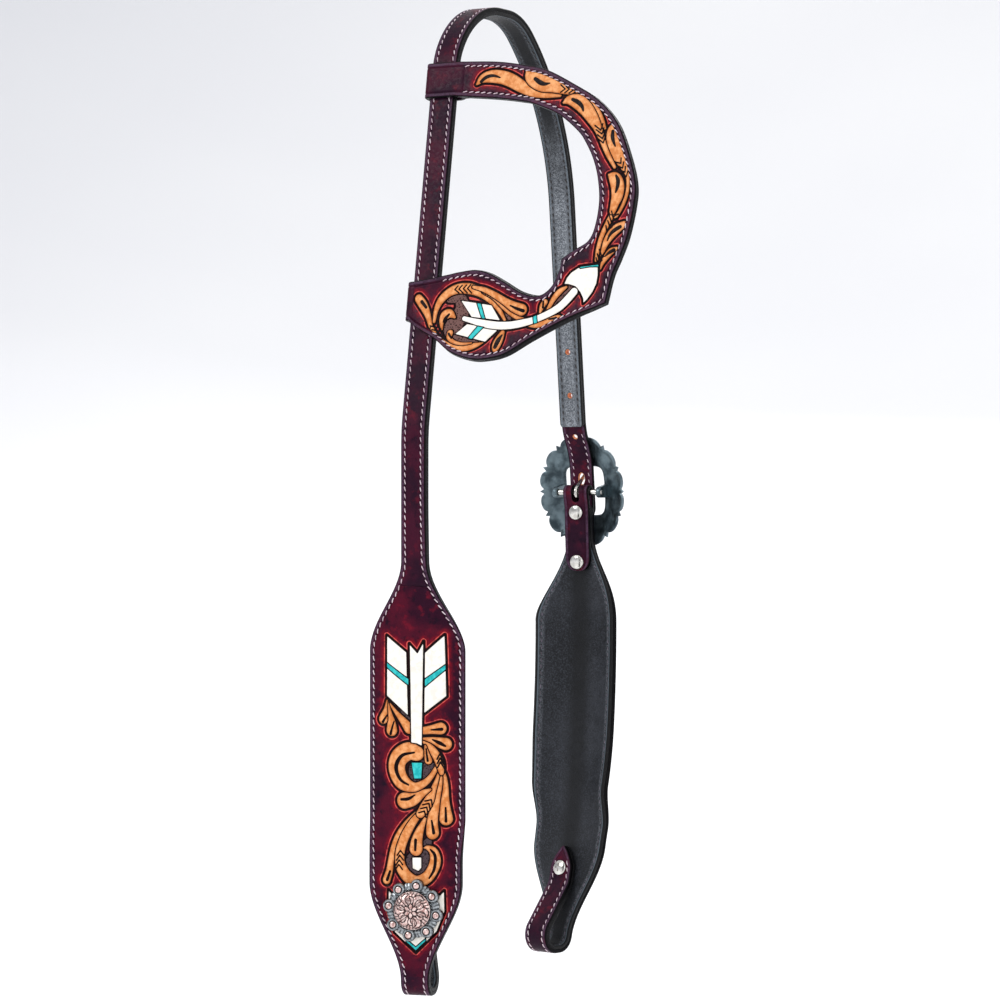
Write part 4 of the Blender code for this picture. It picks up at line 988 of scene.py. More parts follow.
EAR_SHAPES = (
    Shape(Ink.GROUND, ((18.2, 138.5, 2.1), (24.7, 138.1, 3.6), (27.3, 144.5, 4.8), (23.4, 151.8, 5.4),
    (20, 156.9, 3.6), (28.8, 160, 5.4), (36.7, 161.3, 3.6))),
    Shape(Ink.GROUND, ((84.9, 143.8, 0.91), (88.9, 138.9, 2.1), (92.3, 135, 2.4), (95.9, 133.2, 1.2))),
    Shape(Ink.GROUND, ((55.3, 147, 1.3), (58.1, 149.9, 1.6))),
    Shape(Ink.LEAF, ((24.5, 14.2, 0.97), (28.2, 11.1, 2.9), (34, 10.3, 4), (41.2, 11.4, 4.2),
    (47.3, 13.8, 4.2), (53.5, 17.3, 3.8), (60.9, 21.1, 2.9), (69.5, 23.4, 1.9), (79.1, 24.1, 1.2)),
    (((27.1, 13, 0.54), (30.4, 10.6, 0.6), (34.8, 10, 0.48), (39.4, 11.4, 0.24)),)),
    Shape(Ink.LEAF, ((122.3, 113.2, 1.3), (119, 114.8, 2.2), (116.2, 118.1, 1.9), (114.3, 121.4, 1.3),
    (113.5, 124.5, 0.54)), (((121, 114, 0.6), (118.3, 115.3, 0.54), (115.7, 117.4, 0.24)),)),
    Shape(Ink.LEAF, ((118.1, 93.7, 1.8), (116, 98.1, 1.9), (113.6, 103.1, 1.7), (111.9, 108.1, 1.6),
    (110.8, 113.7, 1.5), (110.4, 119.3, 1.3))),
    Shape(Ink.LEAF, ((125.8, 99.8, 2.2), (121.9, 101.9, 3), (118.5, 105.1, 2.9), (116, 108.8, 2.4),
    (114.5, 112.7, 1.7), (113.6, 116.6, 1.2)), (((123.8, 101.1, 0.6), (120.4, 102.9, 0.67),
    (117.8, 105.3, 0.48), (116.5, 108.5, 0.24)),)),
    Shape(Ink.LEAF, ((114.5, 42.5, 0.97), (113.5, 46.4, 2.9), (114.7, 51.6, 4.1), (117, 56.9, 4.4),
    (119.9, 61.5, 3.8), (123, 66.5, 2.7), (125.5, 71.4, 1.6), (126.4, 76.5, 1.3), (126.3, 81.6, 1.3),
    (125.1, 86.6, 1.3), (122.9, 91.6, 1.2), (120.4, 95.5, 1.2)), (((114.5, 46.6, 0.54),
    (114.6, 49.9, 0.67), (115.6, 52.9, 0.48), (116.8, 55.3, 0.24)),)),
    Shape(Ink.LEAF, ((114, 71.2, 0.85), (117.9, 73.5, 3.8), (120, 77.9, 4.4), (120.3, 83, 3.9),
    (119.2, 87.5, 3), (118.1, 92, 2.2)), (((118.7, 71.9, 0.36), (120.2, 74.9, 0.67), (120.1, 78.5, 0.6),
    (119.3, 81.4, 0.3)),)),
    Shape(Ink.LEAF, ((56.5, 8.9, 1.1), (60.1, 12.6, 4.4), (66.9, 16.2, 5.1), (74.7, 18, 4.4),
    (83.2, 20.5, 3.5), (90.4, 22.6, 2.4), (97.1, 27, 1.9), (102.7, 32.9, 1.8), (106.7, 39.2, 1.6),
    (109.1, 44.5, 1.2)), (((62.3, 13.5, 0.6), (65.4, 15.7, 0.79), (68.5, 16.9, 0.6), (71.9, 16.7, 0.24)),)),
    Shape(Ink.LEAF, ((81.7, 28.3, 0.97), (85.4, 27, 2.9), (90.6, 28.3, 4.4), (96, 32.5, 4.4),
    (100.6, 38, 3.8), (104.6, 44, 2.8), (107.4, 49.5, 2.2), (110.1, 55.4, 1.8), (113.4, 61.2, 1.6),
    (117.3, 67.1, 1.2)), (((87.4, 26.9, 0.54), (91, 28.7, 0.73), (93.7, 31.2, 0.6), (94.8, 33.9, 0.3)),)),
    *marks(
        ((79.1, 18), (82.1, 20.6), (79.3, 22.3)), ((81.8, 18.2), (84.7, 21), (82, 22.8)),
        ((84.5, 18.8), (87.3, 21.5), (84.6, 23.2)), ((87.2, 19.4), (89.9, 22), (87.3, 23.6)),
        ((102.9, 42.7), (106.8, 45.6), (107.8, 41.9)), ((103.9, 45.2), (107.7, 47.8), (108.7, 44.4)),
        ((104.9, 48.1), (108.3, 50.5), (109.3, 47)), ((105.8, 50.6), (109, 53), (109.9, 49.5)),
        ((117, 64.1), (121.1, 65.2), (121, 62.1)), ((118.7, 66.4), (122.4, 67.9), (122.8, 64.5)),
        ((120, 68.7), (124.1, 70.3), (124.1, 67.1)), ((121.6, 71.1), (125.1, 72.9), (125.8, 69.7)),
        ((117.6, 92), (118.7, 95.3), (121.9, 93.8)), ((116.4, 94.4), (117.8, 97.8), (121, 96.1)),
        ((115.7, 97.3), (117, 100.2), (120, 98.3)), ((114.8, 100), (115.5, 103), (118.6, 100.9)),
        ((111.8, 113.3), (113.7, 117.3), (115.9, 114.5)), ((110.8, 115.8), (112.3, 119.5), (114.9, 117.4)),
        ((110.2, 117.9), (111.4, 121.4), (114.1, 119.6)),
    ),
    Shape(Ink.LEAF, ((-1.8, 137.7, 2.8), (0.7, 140.5, 3), (3.4, 144.4, 2.6), (5.6, 148.5, 2),
    (7.5, 153.2, 1.6), (10, 157.8, 1.3)), (((0.5, 139.5, 0.6), (3.6, 142.9, 0.48)),)),
    Shape(Ink.LEAF, ((9.1, 155.5, 1.3), (12.9, 161, 1.8), (18.9, 165.2, 2.1), (26.2, 167.4, 2.1),
    (32.7, 167.1, 2.4), (38.4, 165.9, 1.8), (43.1, 164.5, 0.54)), (((22.9, 163.3, 0.24),
    (28, 164.9, 0.36), (33.4, 165.7, 0.24)),)),
    Shape(Ink.LEAF, ((21, 158.4, 2.2), (20.8, 161.2, 1.8), (23.9, 163.6, 1.4), (29.3, 164.9, 1.2),
    (35.7, 164.5, 0.73)), (((20.3, 158.9, 0.42), (22.3, 161.5, 0.3)),)),
    Shape(Ink.LEAF, ((15.4, 156.2, 0.85), (14.7, 151.6, 1.8), (16.2, 148.1, 3), (19.3, 146.9, 2.8),
    (22.9, 149.1, 0.97)), (((19.2, 147.4, 0.36), (17, 149.7, 0.54), (15.9, 151.8, 0.3)),)),
    Shape(Ink.LEAF, ((9.8, 151.5, 1.2), (10.3, 144.6, 1.8), (13, 138.9, 2.4), (17.9, 134.8, 2.7),
    (24.2, 132.7, 3.1), (31.4, 132.9, 3.4), (38, 134.9, 3), (42.9, 138.1, 2.3), (48.1, 142.2, 1.8),
    (52.3, 146.9, 1.5), (55.4, 151.5, 1.1))),
    Shape(Ink.LEAF, ((40.6, 134.6, 1.5), (47.4, 138.5, 1.4), (53, 143.5, 1.3), (59.2, 148, 1.5),
    (64.6, 150.8, 1.5), (69.2, 151.6, 0.97))),
    Shape(Ink.LEAF, ((33.9, 132, 1.1), (41.2, 133.8, 1.7), (48.6, 137.2, 2.1), (55.4, 141.1, 2.5),
    (60.8, 144, 3.3), (65.7, 145.8, 3.8)), (((58.5, 143.2, 0.24), (62.5, 145, 0.48), (67, 146.5, 0.6)),)),
    *marks(
        ((24, 131.1), (22, 133.1), (24.7, 135.1)), ((26.7, 130.8), (24.7, 132.9), (27.4, 135.2)),
        ((29.5, 130.8), (27.5, 132.8), (30.2, 135.3)), ((32.2, 130.6), (30.2, 132.7), (33, 135.4)),
        ((7.7, 154), (12.3, 155.1), (12, 151.3)), ((9.1, 156.3), (13.7, 157.3), (13.3, 153.6)),
        ((10.9, 158.5), (15.4, 159.4), (14.8, 155.9)), ((12.9, 160.6), (17.2, 161.2), (16.5, 158)),
    ),
    Shape(Ink.LEAF, ((54.8, 158.9, 1.7), (53.3, 162.6, 2.8), (52, 166.2, 3), (51.6, 168.8, 1.9),
    (52.8, 170.8, 0.48)), (((54.8, 160.4, 0.3), (52.7, 163.7, 0.85), (51.4, 167.2, 0.73)),)),
    Shape(Ink.LEAF, ((71.5, 155.9, 0.54), (76.5, 155.6, 1.8), (82.1, 154.5, 2.3), (86.4, 152.7, 2.4),
    (89.7, 151.4, 1.7), (92.2, 151.6, 0.54)), (((84.1, 152.2, 0.36), (88.5, 151.9, 0.48)),)),
    Shape(Ink.LEAF, ((77.5, 148.2, 0.85), (78.6, 144.2, 1.8), (80.3, 141.8, 1.9)), (((79.4, 141.4, 0.3),
    (79.2, 145, 0.36)),)),
    Shape(Ink.LEAF, ((82.6, 145.8, 1.3), (85.5, 140.2, 1.8), (89, 136.3, 1.9), (92.9, 133.9, 0.97))),
    Shape(Ink.WHITE, ((25.7, 139.2), (46.4, 142.6), (52.9, 151.9), (33.7, 149.4))),
    Shape(Ink.WHITE, ((23.9, 159.1), (31.4, 153), (52.1, 157), (44.4, 164.2))),
    Shape(Ink.WHITE, ((111.8, 121.9), (108, 122), (103.2, 122.2), (99, 123.4), (95.3, 125.6),
    (92.7, 128.6), (91.2, 132.3), (94.6, 132.6), (98.6, 133.9), (101.8, 137.1), (104, 140.8),
    (104.5, 143.8), (106.8, 141.5), (109.8, 137.3), (111.8, 132.7), (112.3, 127.9))),
    Shape(Ink.WHITE, ((29.1, 150, 1.6), (35.1, 151.6, 1.9), (42.4, 153.3, 2.4), (50.9, 154.6, 2.5),
    (59.2, 154.7, 2.5), (67.4, 153.6, 2.5), (74.3, 152.1, 2.3), (81.6, 149.4, 2.4), (88.9, 145.7, 2.6),
    (94.1, 141, 2.6), (98, 136.7, 2.5))),
    Shape(Ink.BAND, ((36.4, 141), (39.5, 141.5), (43.1, 150.8), (40.4, 150.3))),
    Shape(Ink.BAND, ((38.4, 154.5), (42.5, 155.4), (35.6, 162.5), (32.6, 161.7))),
    Shape(Ink.BAND, ((73.2, 149.9), (75.7, 149.1), (76.8, 154), (74.3, 154.7))),
    Shape(Ink.BAND, ((100, 122.6), (112.1, 121.6), (112.2, 123.2), (106.9, 123.1), (100.7, 123.8))),
)


# Finishes


@dataclass(frozen=True)
class WaxedLeather:
    """Vegetable-tanned cow leather, dyed burgundy by hand, antiqued and waxed. The eye sees a deep uneven
    red with almost black clouds, a painted purple-grey sheen along the borders and black burnished edges."""

    deep: str = "#27061B"
    red: str = "#480A1F"
    bright: str = "#700E22"
    cloud: str = "#120516"
    painted_sheen: str = "#463448"
    edge_black: str = "#040305"
    rough: float = 0.36

    def body(self, bench: Bench) -> tuple[Socket, Socket, Socket]:
        """Lays out the dyed surface: its colour, its roughness and its grain."""
        broad = bench.noise(24, 3)
        patches = bench.noise(7, 4, 0.6)
        fine = bench.noise(1.6, 3)
        colour = bench.mix(bench.ramp(broad, 0.40, 0.62), self.deep, self.red)
        colour = bench.mix(bench.ramp(patches, 0.54, 0.72, 0, 0.55), colour, self.bright)
        colour = bench.mix(bench.ramp(patches, 0.46, 0.30, 0, 0.8), colour, self.cloud)
        edge = bench.carried("edge")
        # Painted sheen: a purple-grey highlight laid into the colour along the borders, between the edge and the
        # stitch rows.
        border = bench.sum("MULTIPLY", bench.ramp(edge, 0.5, 0.9), bench.ramp(edge, 2.6, 1.7))
        painted_shine = bench.sum("MULTIPLY", border, bench.ramp(fine, 0.36, 0.62, 0.25, 0.85))
        colour = bench.mix(painted_shine, colour, self.painted_sheen)
        colour = bench.mix(bench.ramp(edge, 0.75, 0.35), colour, self.edge_black)
        rough = bench.ramp(fine, 0.3, 0.7, self.rough - 0.08, self.rough + 0.14)
        pores = bench.ramp(bench.cells(0.75), 0.0, 0.45)
        grain = bench.sum("MULTIPLY_ADD", fine, 0.8, pores)
        return colour, rough, bench.bump(grain, 0.05)

    def strap(self) -> Material:
        """The plain leather of straps, loops and the ear's wraps."""
        bench = Bench("waxed_burgundy_leather")
        colour, rough, normal = self.body(bench)
        return bench.finish(colour, rough, normal, Specular_IOR_Level=0.07)


@dataclass(frozen=True)
class TooledLeather:
    """The same leather carved, bevelled and stippled, its shapes painted with tan, white and turquoise
    acrylic and outlined in black. The eye sees crisp painted leaves on a dark pressed ground."""

    leather: WaxedLeather
    name: str
    ground: str
    tan: str = "#C4773F"
    tan_light: str = "#E2A06A"
    tan_low: str = "#96481C"
    white: str = "#EFEBE3"
    white_low: str = "#DDD5CA"
    turquoise: str = "#1E9FA2"
    turquoise_light: str = "#3CBDBC"
    ink: str = "#0E0305"
    bevel: str = "#26040A"
    painted_bevel_highlight: str = "#D2564E"
    painted_bevel_sheen: str = "#8C0B1A"

    def made(self) -> Material:
        """Builds the painted and tooled material from the drawing's distances."""
        bench = Bench(self.name)
        colour, rough, normal = self.leather.body(bench)
        fine = bench.noise(1.1, 3)
        brushed = bench.noise(3.2, 4, 0.6)
        pattern = bench.carried("pattern")
        # Painted sheen: a brighter red on the bevelled leather within a few millimetres of the tooling, broken up by
        # brushed noise.
        wavy = bench.sum("MULTIPLY_ADD", bench.sum("SUBTRACT", brushed, 0.5), 1.2, pattern)
        painted_bevel_sheen = bench.sum("MULTIPLY", bench.ramp(wavy, 4.6, 1.4), bench.ramp(brushed, 0.35, 0.62, 0.05, 0.7))
        colour = bench.mix(painted_bevel_sheen, colour, self.painted_bevel_sheen)
        # Painted shade: a dark band 1.0 to 1.5 millimetres outside the shapes and near-black nearer in, where the
        # bevels are in shadow.
        colour = bench.mix(bench.ramp(pattern, 1.5, 1.0), colour, self.bevel)
        colour = bench.mix(bench.ramp(pattern, 0.85, 0.45), colour, self.ink)
        # Painted highlight: a thin pink-red line on the bevels' crests, 1.1 to 1.85 millimetres outside the shapes.
        lit = bench.sum("MULTIPLY", bench.ramp(pattern, 1.10, 1.35), bench.ramp(pattern, 1.85, 1.5))
        lit = bench.sum("MULTIPLY", lit, bench.ramp(brushed, 0.36, 0.56, 0.25, 1.0))
        colour = bench.mix(lit, colour, self.painted_bevel_highlight)
        dots = bench.ramp(bench.cells(1.15), 0.12, 0.48)
        ground = bench.mix(dots, self.ink, self.ground)
        colour = bench.mix(bench.ramp(bench.carried("ground"), 0.1, -0.1), colour, ground)
        tan = bench.mix(bench.ramp(brushed, 0.36, 0.66), self.tan, self.tan_light)
        # Darker tan towards the leaf edges: antique in the cuts, and painted shade on the leaves' rounded edges.
        rim = bench.sum("MULTIPLY", bench.ramp(bench.carried("tan"), -1.5, -0.3), 0.55)
        tan = bench.mix(rim, tan, self.tan_low)
        colour = bench.mix(bench.ramp(bench.carried("tan"), 0.07, -0.07), colour, tan)
        white = bench.mix(bench.ramp(brushed, 0.60, 0.36, 0, 0.7), self.white, self.white_low)
        colour = bench.mix(bench.ramp(bench.carried("white"), 0.07, -0.07), colour, white)
        blue = bench.mix(bench.ramp(brushed, 0.4, 0.6), self.turquoise, self.turquoise_light)
        colour = bench.mix(bench.ramp(bench.carried("band"), 0.07, -0.07), colour, blue)
        colour = bench.mix(bench.ramp(bench.carried("line"), 0.08, -0.06), colour, self.ink)
        stipple = bench.sum("MULTIPLY", dots, bench.ramp(bench.carried("ground"), 0.2, -0.2))
        painted = bench.bump(bench.sum("ADD", stipple, bench.sum("MULTIPLY", fine, 0.15)), 0.30, normal)
        return bench.finish(colour, rough, painted, Specular_IOR_Level=0.07)


@dataclass(frozen=True)
class PebbledLining:
    """Thin chap leather with a pebble grain, dyed black, with a grey-blue slate sheen painted on between two heights,
    paler on the high grain. The eye sees dark speckles on a dull slate, and a pale line inside its black edge."""

    black: str = "#08090C"
    deep: str = "#14161A"
    dull: str = "#26282D"
    fine: str = "#3B3E45"
    slate: str = "#54585E"
    pale: str = "#8C9197"
    edge_line: str = "#5E6A73"
    edge_black: str = "#040406"

    def made(self) -> Material:
        """Builds the lining's material."""
        bench = Bench("pebbled_black_lining")
        clouds = bench.noise(30, 3)
        grain = bench.noise(0.9, 4, 0.7)
        pebble = bench.ramp(bench.cells(0.8), 0.05, 0.55)
        height = add(bench.tree, "ShaderNodeSeparateXYZ", {0: bench.place}).outputs["Z"]
        # Painted sheen, not wear: a slate grey-blue band between two heights of the headstall, broken up by clouds.
        high = bench.sum("MULTIPLY", bench.ramp(height, -0.045, -0.10), bench.ramp(height, -0.29, -0.245))
        worn = bench.sum("MULTIPLY", high, bench.ramp(clouds, 0.3, 0.6, 0.6, 1.0))
        plain = bench.mix(bench.ramp(clouds, 0.35, 0.65), self.deep, self.dull)
        plain = bench.mix(bench.ramp(grain, 0.46, 0.62, 0, 0.6), plain, self.fine)
        # Painted shade: darker towards the middle of the leather's width.
        aside = bench.sum("ABSOLUTE", bench.carried("aside"))
        plain = bench.mix(bench.ramp(aside, 11.0, 2.0, 0.0, 0.78), plain, self.black)
        slate = bench.mix(bench.ramp(grain, 0.42, 0.60), self.slate, self.pale)
        colour = bench.mix(worn, plain, slate)
        speckle = bench.ramp(bench.sum("MULTIPLY_ADD", pebble, 0.35, grain), 0.68, 0.54)
        colour = bench.mix(bench.sum("MULTIPLY", speckle, 0.5), colour, self.black)
        # Wrinkles that tilt the bump; their dark lines in the colour are painted shade in the creases.
        fold = bench.sum("ABSOLUTE", bench.sum("SUBTRACT", bench.noise(7, 4, 0.62), 0.5))
        crease = bench.ramp(fold, 0.018, 0.0)
        colour = bench.mix(bench.sum("MULTIPLY", crease, 0.45), colour, self.black)
        edge = bench.carried("edge")
        pressed = bench.sum("MULTIPLY", bench.ramp(edge, 1.4, 2.0), bench.ramp(edge, 5.0, 3.6))
        pressed = bench.sum("MULTIPLY", pressed, bench.ramp(grain, 0.44, 0.58, 0.1, 0.8))
        colour = bench.mix(pressed, colour, self.slate)
        line = bench.sum("MULTIPLY", bench.ramp(edge, 0.9, 1.1), bench.ramp(edge, 1.8, 1.4))
        colour = bench.mix(bench.sum("MULTIPLY", line, 0.7), colour, self.edge_line)
        colour = bench.mix(bench.ramp(edge, 1.0, 0.7), colour, self.edge_black)
        height_map = bench.sum("MULTIPLY_ADD", pebble, 0.5, bench.sum("MULTIPLY_ADD", crease, -0.8, grain))
        return bench.finish(colour, bench.ramp(grain, 0.35, 0.65, 0.42, 0.62), bench.bump(height_map, 0.10),
                            Specular_IOR_Level=0.2)


@dataclass(frozen=True)
class Thread:
    """Waxed polyester thread. The eye sees short pale rounded dashes with the twist of the plies."""

    name: str
    colour: str
    shade: str

    def made(self) -> Material:
        """Builds the thread's material."""
        bench = Bench(self.name)
        inputs = {"Vector": bench.place, "Scale": 1 / (0.9 * MM), "Distortion": 2.0}
        ply = add(bench.tree, "ShaderNodeTexWave", inputs, bands_direction="DIAGONAL").outputs["Fac"]
        colour = bench.mix(bench.ramp(bench.noise(5), 0.35, 0.65), self.colour, self.shade)
        return bench.finish(colour, 0.5, bench.bump(ply, 0.12), Sheen_Weight=0.2)


@dataclass(frozen=True)
class Plain:
    """A small even surface that still has a little cloud and grain, such as a cut leather rim or a hole."""

    name: str
    first: str
    second: str
    rough: float
    grain: float = 0.5

    def made(self) -> Material:
        """Builds the material."""
        bench = Bench(self.name)
        noise = bench.noise(self.grain, 3)
        colour = bench.mix(bench.ramp(noise, 0.35, 0.65), self.first, self.second)
        return bench.finish(colour, self.rough, bench.bump(noise, 0.06))


@dataclass(frozen=True)
class AntiquedPewter:
    """Cast white metal, darkened with antiquing in its hollows and rubbed bright on top, with rose copper
    on the raised scrolls. The eye sees soft grey metal with black recesses."""

    def made(self) -> Material:
        """Builds the cast metal from the mesh's copper and hollow values."""
        bench = Bench("antiqued_pewter_and_copper")
        worn = bench.noise(1.4, 4, 0.6)
        metal = bench.mix(bench.ramp(worn, 0.35, 0.65), "#6F7478", "#A6ABAE")
        copper = bench.mix(bench.ramp(worn, 0.35, 0.65), "#A9807A", "#E9D2CC")
        colour = bench.mix(bench.carried("copper"), metal, copper)
        dark = bench.sum("MULTIPLY", bench.ramp(bench.carried("hollow"), 0.12, 0.55), 0.94)
        colour = bench.mix(dark, colour, "#0D0B0C")
        rough = bench.ramp(worn, 0.3, 0.7, 0.22, 0.38)
        return bench.finish(colour, rough, bench.bump(worn, 0.05), Metallic=0.92)


@dataclass(frozen=True)
class CastGunmetal:
    """Die-cast plate with a dark grey-blue plating, dull on its cast back. The eye sees soft teal-grey
    reflections over a faint cast skin."""

    def made(self) -> Material:
        """Builds the plate's metal."""
        bench = Bench("cast_gunmetal")
        broad = bench.noise(9, 3)
        skin = bench.noise(0.8, 4, 0.65)
        colour = bench.mix(bench.ramp(broad, 0.35, 0.65), "#39444A", "#6A797F")
        dark = bench.sum("MULTIPLY", bench.ramp(bench.carried("hollow"), 0.15, 0.6), 0.9)
        colour = bench.mix(dark, colour, "#0E1216")
        return bench.finish(colour, bench.ramp(skin, 0.3, 0.7, 0.28, 0.46), bench.bump(skin, 0.09), Metallic=0.9)


@dataclass(frozen=True)
class PolishedNickel:
    """Nickel plating on turned steel, polished. The eye sees bright slightly warm metal with hair scratches."""

    def made(self) -> Material:
        """Builds the plating."""
        bench = Bench("polished_nickel_plating")
        cloud = bench.noise(3, 3)
        hair = bench.noise(0.35, 2)
        colour = bench.mix(bench.ramp(cloud, 0.35, 0.65), "#B9B6B0", "#DEDCD6")
        return bench.finish(colour, bench.ramp(cloud, 0.3, 0.7, 0.13, 0.26), bench.bump(hair, 0.015), Metallic=1.0)


@dataclass
class Finishes:
    """Every finish of the headstall, made once."""

    leather: WaxedLeather = WaxedLeather()

    def __post_init__(self) -> None:
        """Builds the materials."""
        plain = WaxedLeather(deep="#220A1C", red="#380D21", bright="#5E1022", painted_sheen="#4A3548")
        self.strap = plain.strap()
        self.cheek_tooling = TooledLeather(self.leather, "tooled_cheek_leather", "#4A3C40").made()
        self.ear_tooling = TooledLeather(plain, "tooled_ear_leather", "#6A4C48").made()
        self.lining = PebbledLining().made()
        self.thread = Thread("pale_waxed_thread", "#EBD9E0", "#C2A6B2").made()
        self.grey_thread = Thread("grey_waxed_thread", "#64596A", "#3A323A").made()
        self.dark_thread = Thread("dark_waxed_thread", "#1E181C", "#0A0709").made()
        self.awl = Plain("awl_hole_shadow", "#050204", "#14080A", 0.8).made()
        self.raw = Plain("raw_cut_leather_rim", "#C9703E", "#E2986A", 0.7).made()
        self.pewter = AntiquedPewter().made()
        self.gunmetal = CastGunmetal().made()
        self.nickel = PolishedNickel().made()


def dress(piece: Object, body: Body, slot: Slot, finish: Material,
          replaced: Sequence[str] = ()) -> Object:
    """Gives a finished piece its material and its body, and hides the CAD nodes that it stands for."""
    piece.data.materials.clear()
    piece.data.materials.append(finish)
    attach(piece, body.value)
    if replaced:
        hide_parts(*replaced)
    LOG.info("%s: %d faces on %s", piece.name, len(piece.data.polygons), body.value)
    return piece


# Rows of stitches and rings of berries, by Geometry Nodes


def new_tree(name: str, **kinds: str) -> tuple[Tree, bpy.types.NodeOutputs]:
    """Starts a Geometry Nodes tree.

    Args:
        name: name of the tree.
        kinds: the kind of each input, such as Float or Geometry, in order.

    Returns:
        The tree and the sockets of its inputs.
    """
    tree = bpy.data.node_groups.new(name, "GeometryNodeTree")
    tree.interface.new_socket("Geometry", in_out="OUTPUT", socket_type="NodeSocketGeometry")
    for label, kind in kinds.items():
        tree.interface.new_socket(label, in_out="INPUT", socket_type=f"NodeSocket{kind}")
    return tree, add(tree, "NodeGroupInput").outputs


def run_tree(piece: Object, tree: Tree, values: dict[str, object]) -> None:
    """Runs a tree on a piece with values for its inputs, by their identifiers, and keeps the plain mesh."""
    step = piece.modifiers.new(tree.name, "NODES")
    step.node_group = tree
    for item in tree.interface.items_tree:
        if item.item_type == "SOCKET" and item.in_out == "INPUT" and item.name in values:
            step[item.identifier] = values[item.name]
    settle(piece)


@dataclass
class StitchRow:
    """A Geometry Nodes tree that sews dashes, or sets awl holes, along lines on the leather."""

    name: str
    dash: bool
    finish: Material
    pitch: float = STITCH_PITCH
    length: float = 0.0029
    thick: float = 0.00034
    slant: float = math.radians(17)

    def __post_init__(self) -> None:
        """Builds the tree."""
        tree, given = new_tree(self.name, Lines="Geometry", Pitch="Float", Length="Float", Thickness="Float",
                               Slant="Float", Start="Float")
        self.tree = tree
        curve = add(tree, "GeometryNodeMeshToCurve", {"Mesh": given["Lines"]}).outputs[0]
        trim = add(tree, "GeometryNodeTrimCurve", {"Curve": curve}, mode="LENGTH")
        tree.links.new(given["Start"], trim.inputs[4])
        trim.inputs[5].default_value = 100.0
        spaced = add(tree, "GeometryNodeResampleCurve", {"Curve": trim.outputs[0], "Length": given["Pitch"]},
                     mode="LENGTH").outputs[0]
        outward = add(tree, "GeometryNodeInputNamedAttribute", {"Name": "outward"}, data_type="FLOAT_VECTOR")
        tangent = add(tree, "GeometryNodeInputTangent").outputs[0]
        turn = add(tree, "FunctionNodeAxesToRotation", primary_axis="Z", secondary_axis="X")
        tree.links.new(outward.outputs[0], turn.inputs[0])
        tree.links.new(tangent, turn.inputs[1])
        slanted = add(tree, "ShaderNodeCombineXYZ", {"Z": given["Slant"]}).outputs[0]
        lean = add(tree, "FunctionNodeRotateRotation", {0: turn.outputs[0], 1: slanted}, rotation_space="LOCAL")
        shape = self._dash(given) if self.dash else self._hole(given)
        sewn = add(tree, "GeometryNodeInstanceOnPoints", {"Points": spaced, "Instance": shape})
        tree.links.new(lean.outputs[0], sewn.inputs["Rotation"])
        real = add(tree, "GeometryNodeRealizeInstances", {"Geometry": sewn.outputs[0]}).outputs[0]
        smooth = add(tree, "GeometryNodeSetShadeSmooth", {"Geometry": real}).outputs[0]
        done = add(tree, "GeometryNodeSetMaterial", {"Geometry": smooth, "Material": self.finish}).outputs[0]
        add(tree, "NodeGroupOutput", {"Geometry": done})

    def _dash(self, given: bpy.types.NodeOutputs) -> Socket:
        """A short thread that rises out of the leather and goes down again."""
        tree = self.tree
        half = number(tree, "MULTIPLY", given["Length"], 0.5)
        back = number(tree, "MULTIPLY", half, -1.0)
        deep = number(tree, "MULTIPLY", given["Thickness"], -1.1)
        first = add(tree, "ShaderNodeCombineXYZ", {"X": back, "Z": deep}).outputs[0]
        top = add(tree, "ShaderNodeCombineXYZ", {"Z": given["Thickness"]}).outputs[0]
        last = add(tree, "ShaderNodeCombineXYZ", {"X": half, "Z": deep}).outputs[0]
        arch = add(tree, "GeometryNodeCurveQuadraticBezier", {"Resolution": 5, 1: first, 2: top, 3: last})
        ring = add(tree, "GeometryNodeCurvePrimitiveCircle", {"Resolution": 6})
        tree.links.new(given["Thickness"], ring.inputs["Radius"])
        tube = add(tree, "GeometryNodeCurveToMesh", {"Curve": arch.outputs[0], "Profile Curve": ring.outputs[0]})
        tube.inputs["Fill Caps"].default_value = True
        return tube.outputs[0]

    def _hole(self, given: bpy.types.NodeOutputs) -> Socket:
        """A small dark pit where the awl went through, whose near-black colour is painted shade inside the hole."""
        tree = self.tree
        ball = add(tree, "GeometryNodeMeshUVSphere", {"Segments": 8, "Rings": 4})
        tree.links.new(given["Thickness"], ball.inputs["Radius"])
        size = add(tree, "ShaderNodeCombineXYZ", {"X": 1.0, "Y": 0.85, "Z": 0.35}).outputs[0]
        return add(tree, "GeometryNodeTransform", {"Geometry": ball.outputs[0], "Scale": size}).outputs[0]

    def sew(self, name: str, lines: Sequence[tuple[Array, Array]], body: Body, slot: Slot) -> None:
        """Sews rows and dresses them. Each dash lies midway between two awl holes.

        Args:
            name: name of the new object.
            lines: points and outward directions of each row.
            body: body that the leather belongs to.
            slot: slot that the leather belongs to.
        """
        points = np.vstack([line[0] for line in lines])
        outward = np.vstack([line[1] for line in lines])
        edges, first = [], 0
        for line, _ in lines:
            edges += [(first + n, first + n + 1) for n in range(len(line) - 1)]
            first += len(line)
        mesh = bpy.data.meshes.new(name)
        mesh.from_pydata(points.tolist(), edges, [])
        layer = mesh.attributes.new("outward", "FLOAT_VECTOR", "POINT")
        layer.data.foreach_set("vector", outward.astype(np.float32).ravel())
        made = bpy.data.objects.new(name, mesh)
        bpy.context.scene.collection.objects.link(made)
        run_tree(made, self.tree, {
            "Pitch": self.pitch, "Length": self.length, "Thickness": self.thick, "Slant": self.slant,
            "Start": self.pitch / 2 if self.dash else FIRST_HOLE,
        })
        dress(made, body, slot, self.finish)


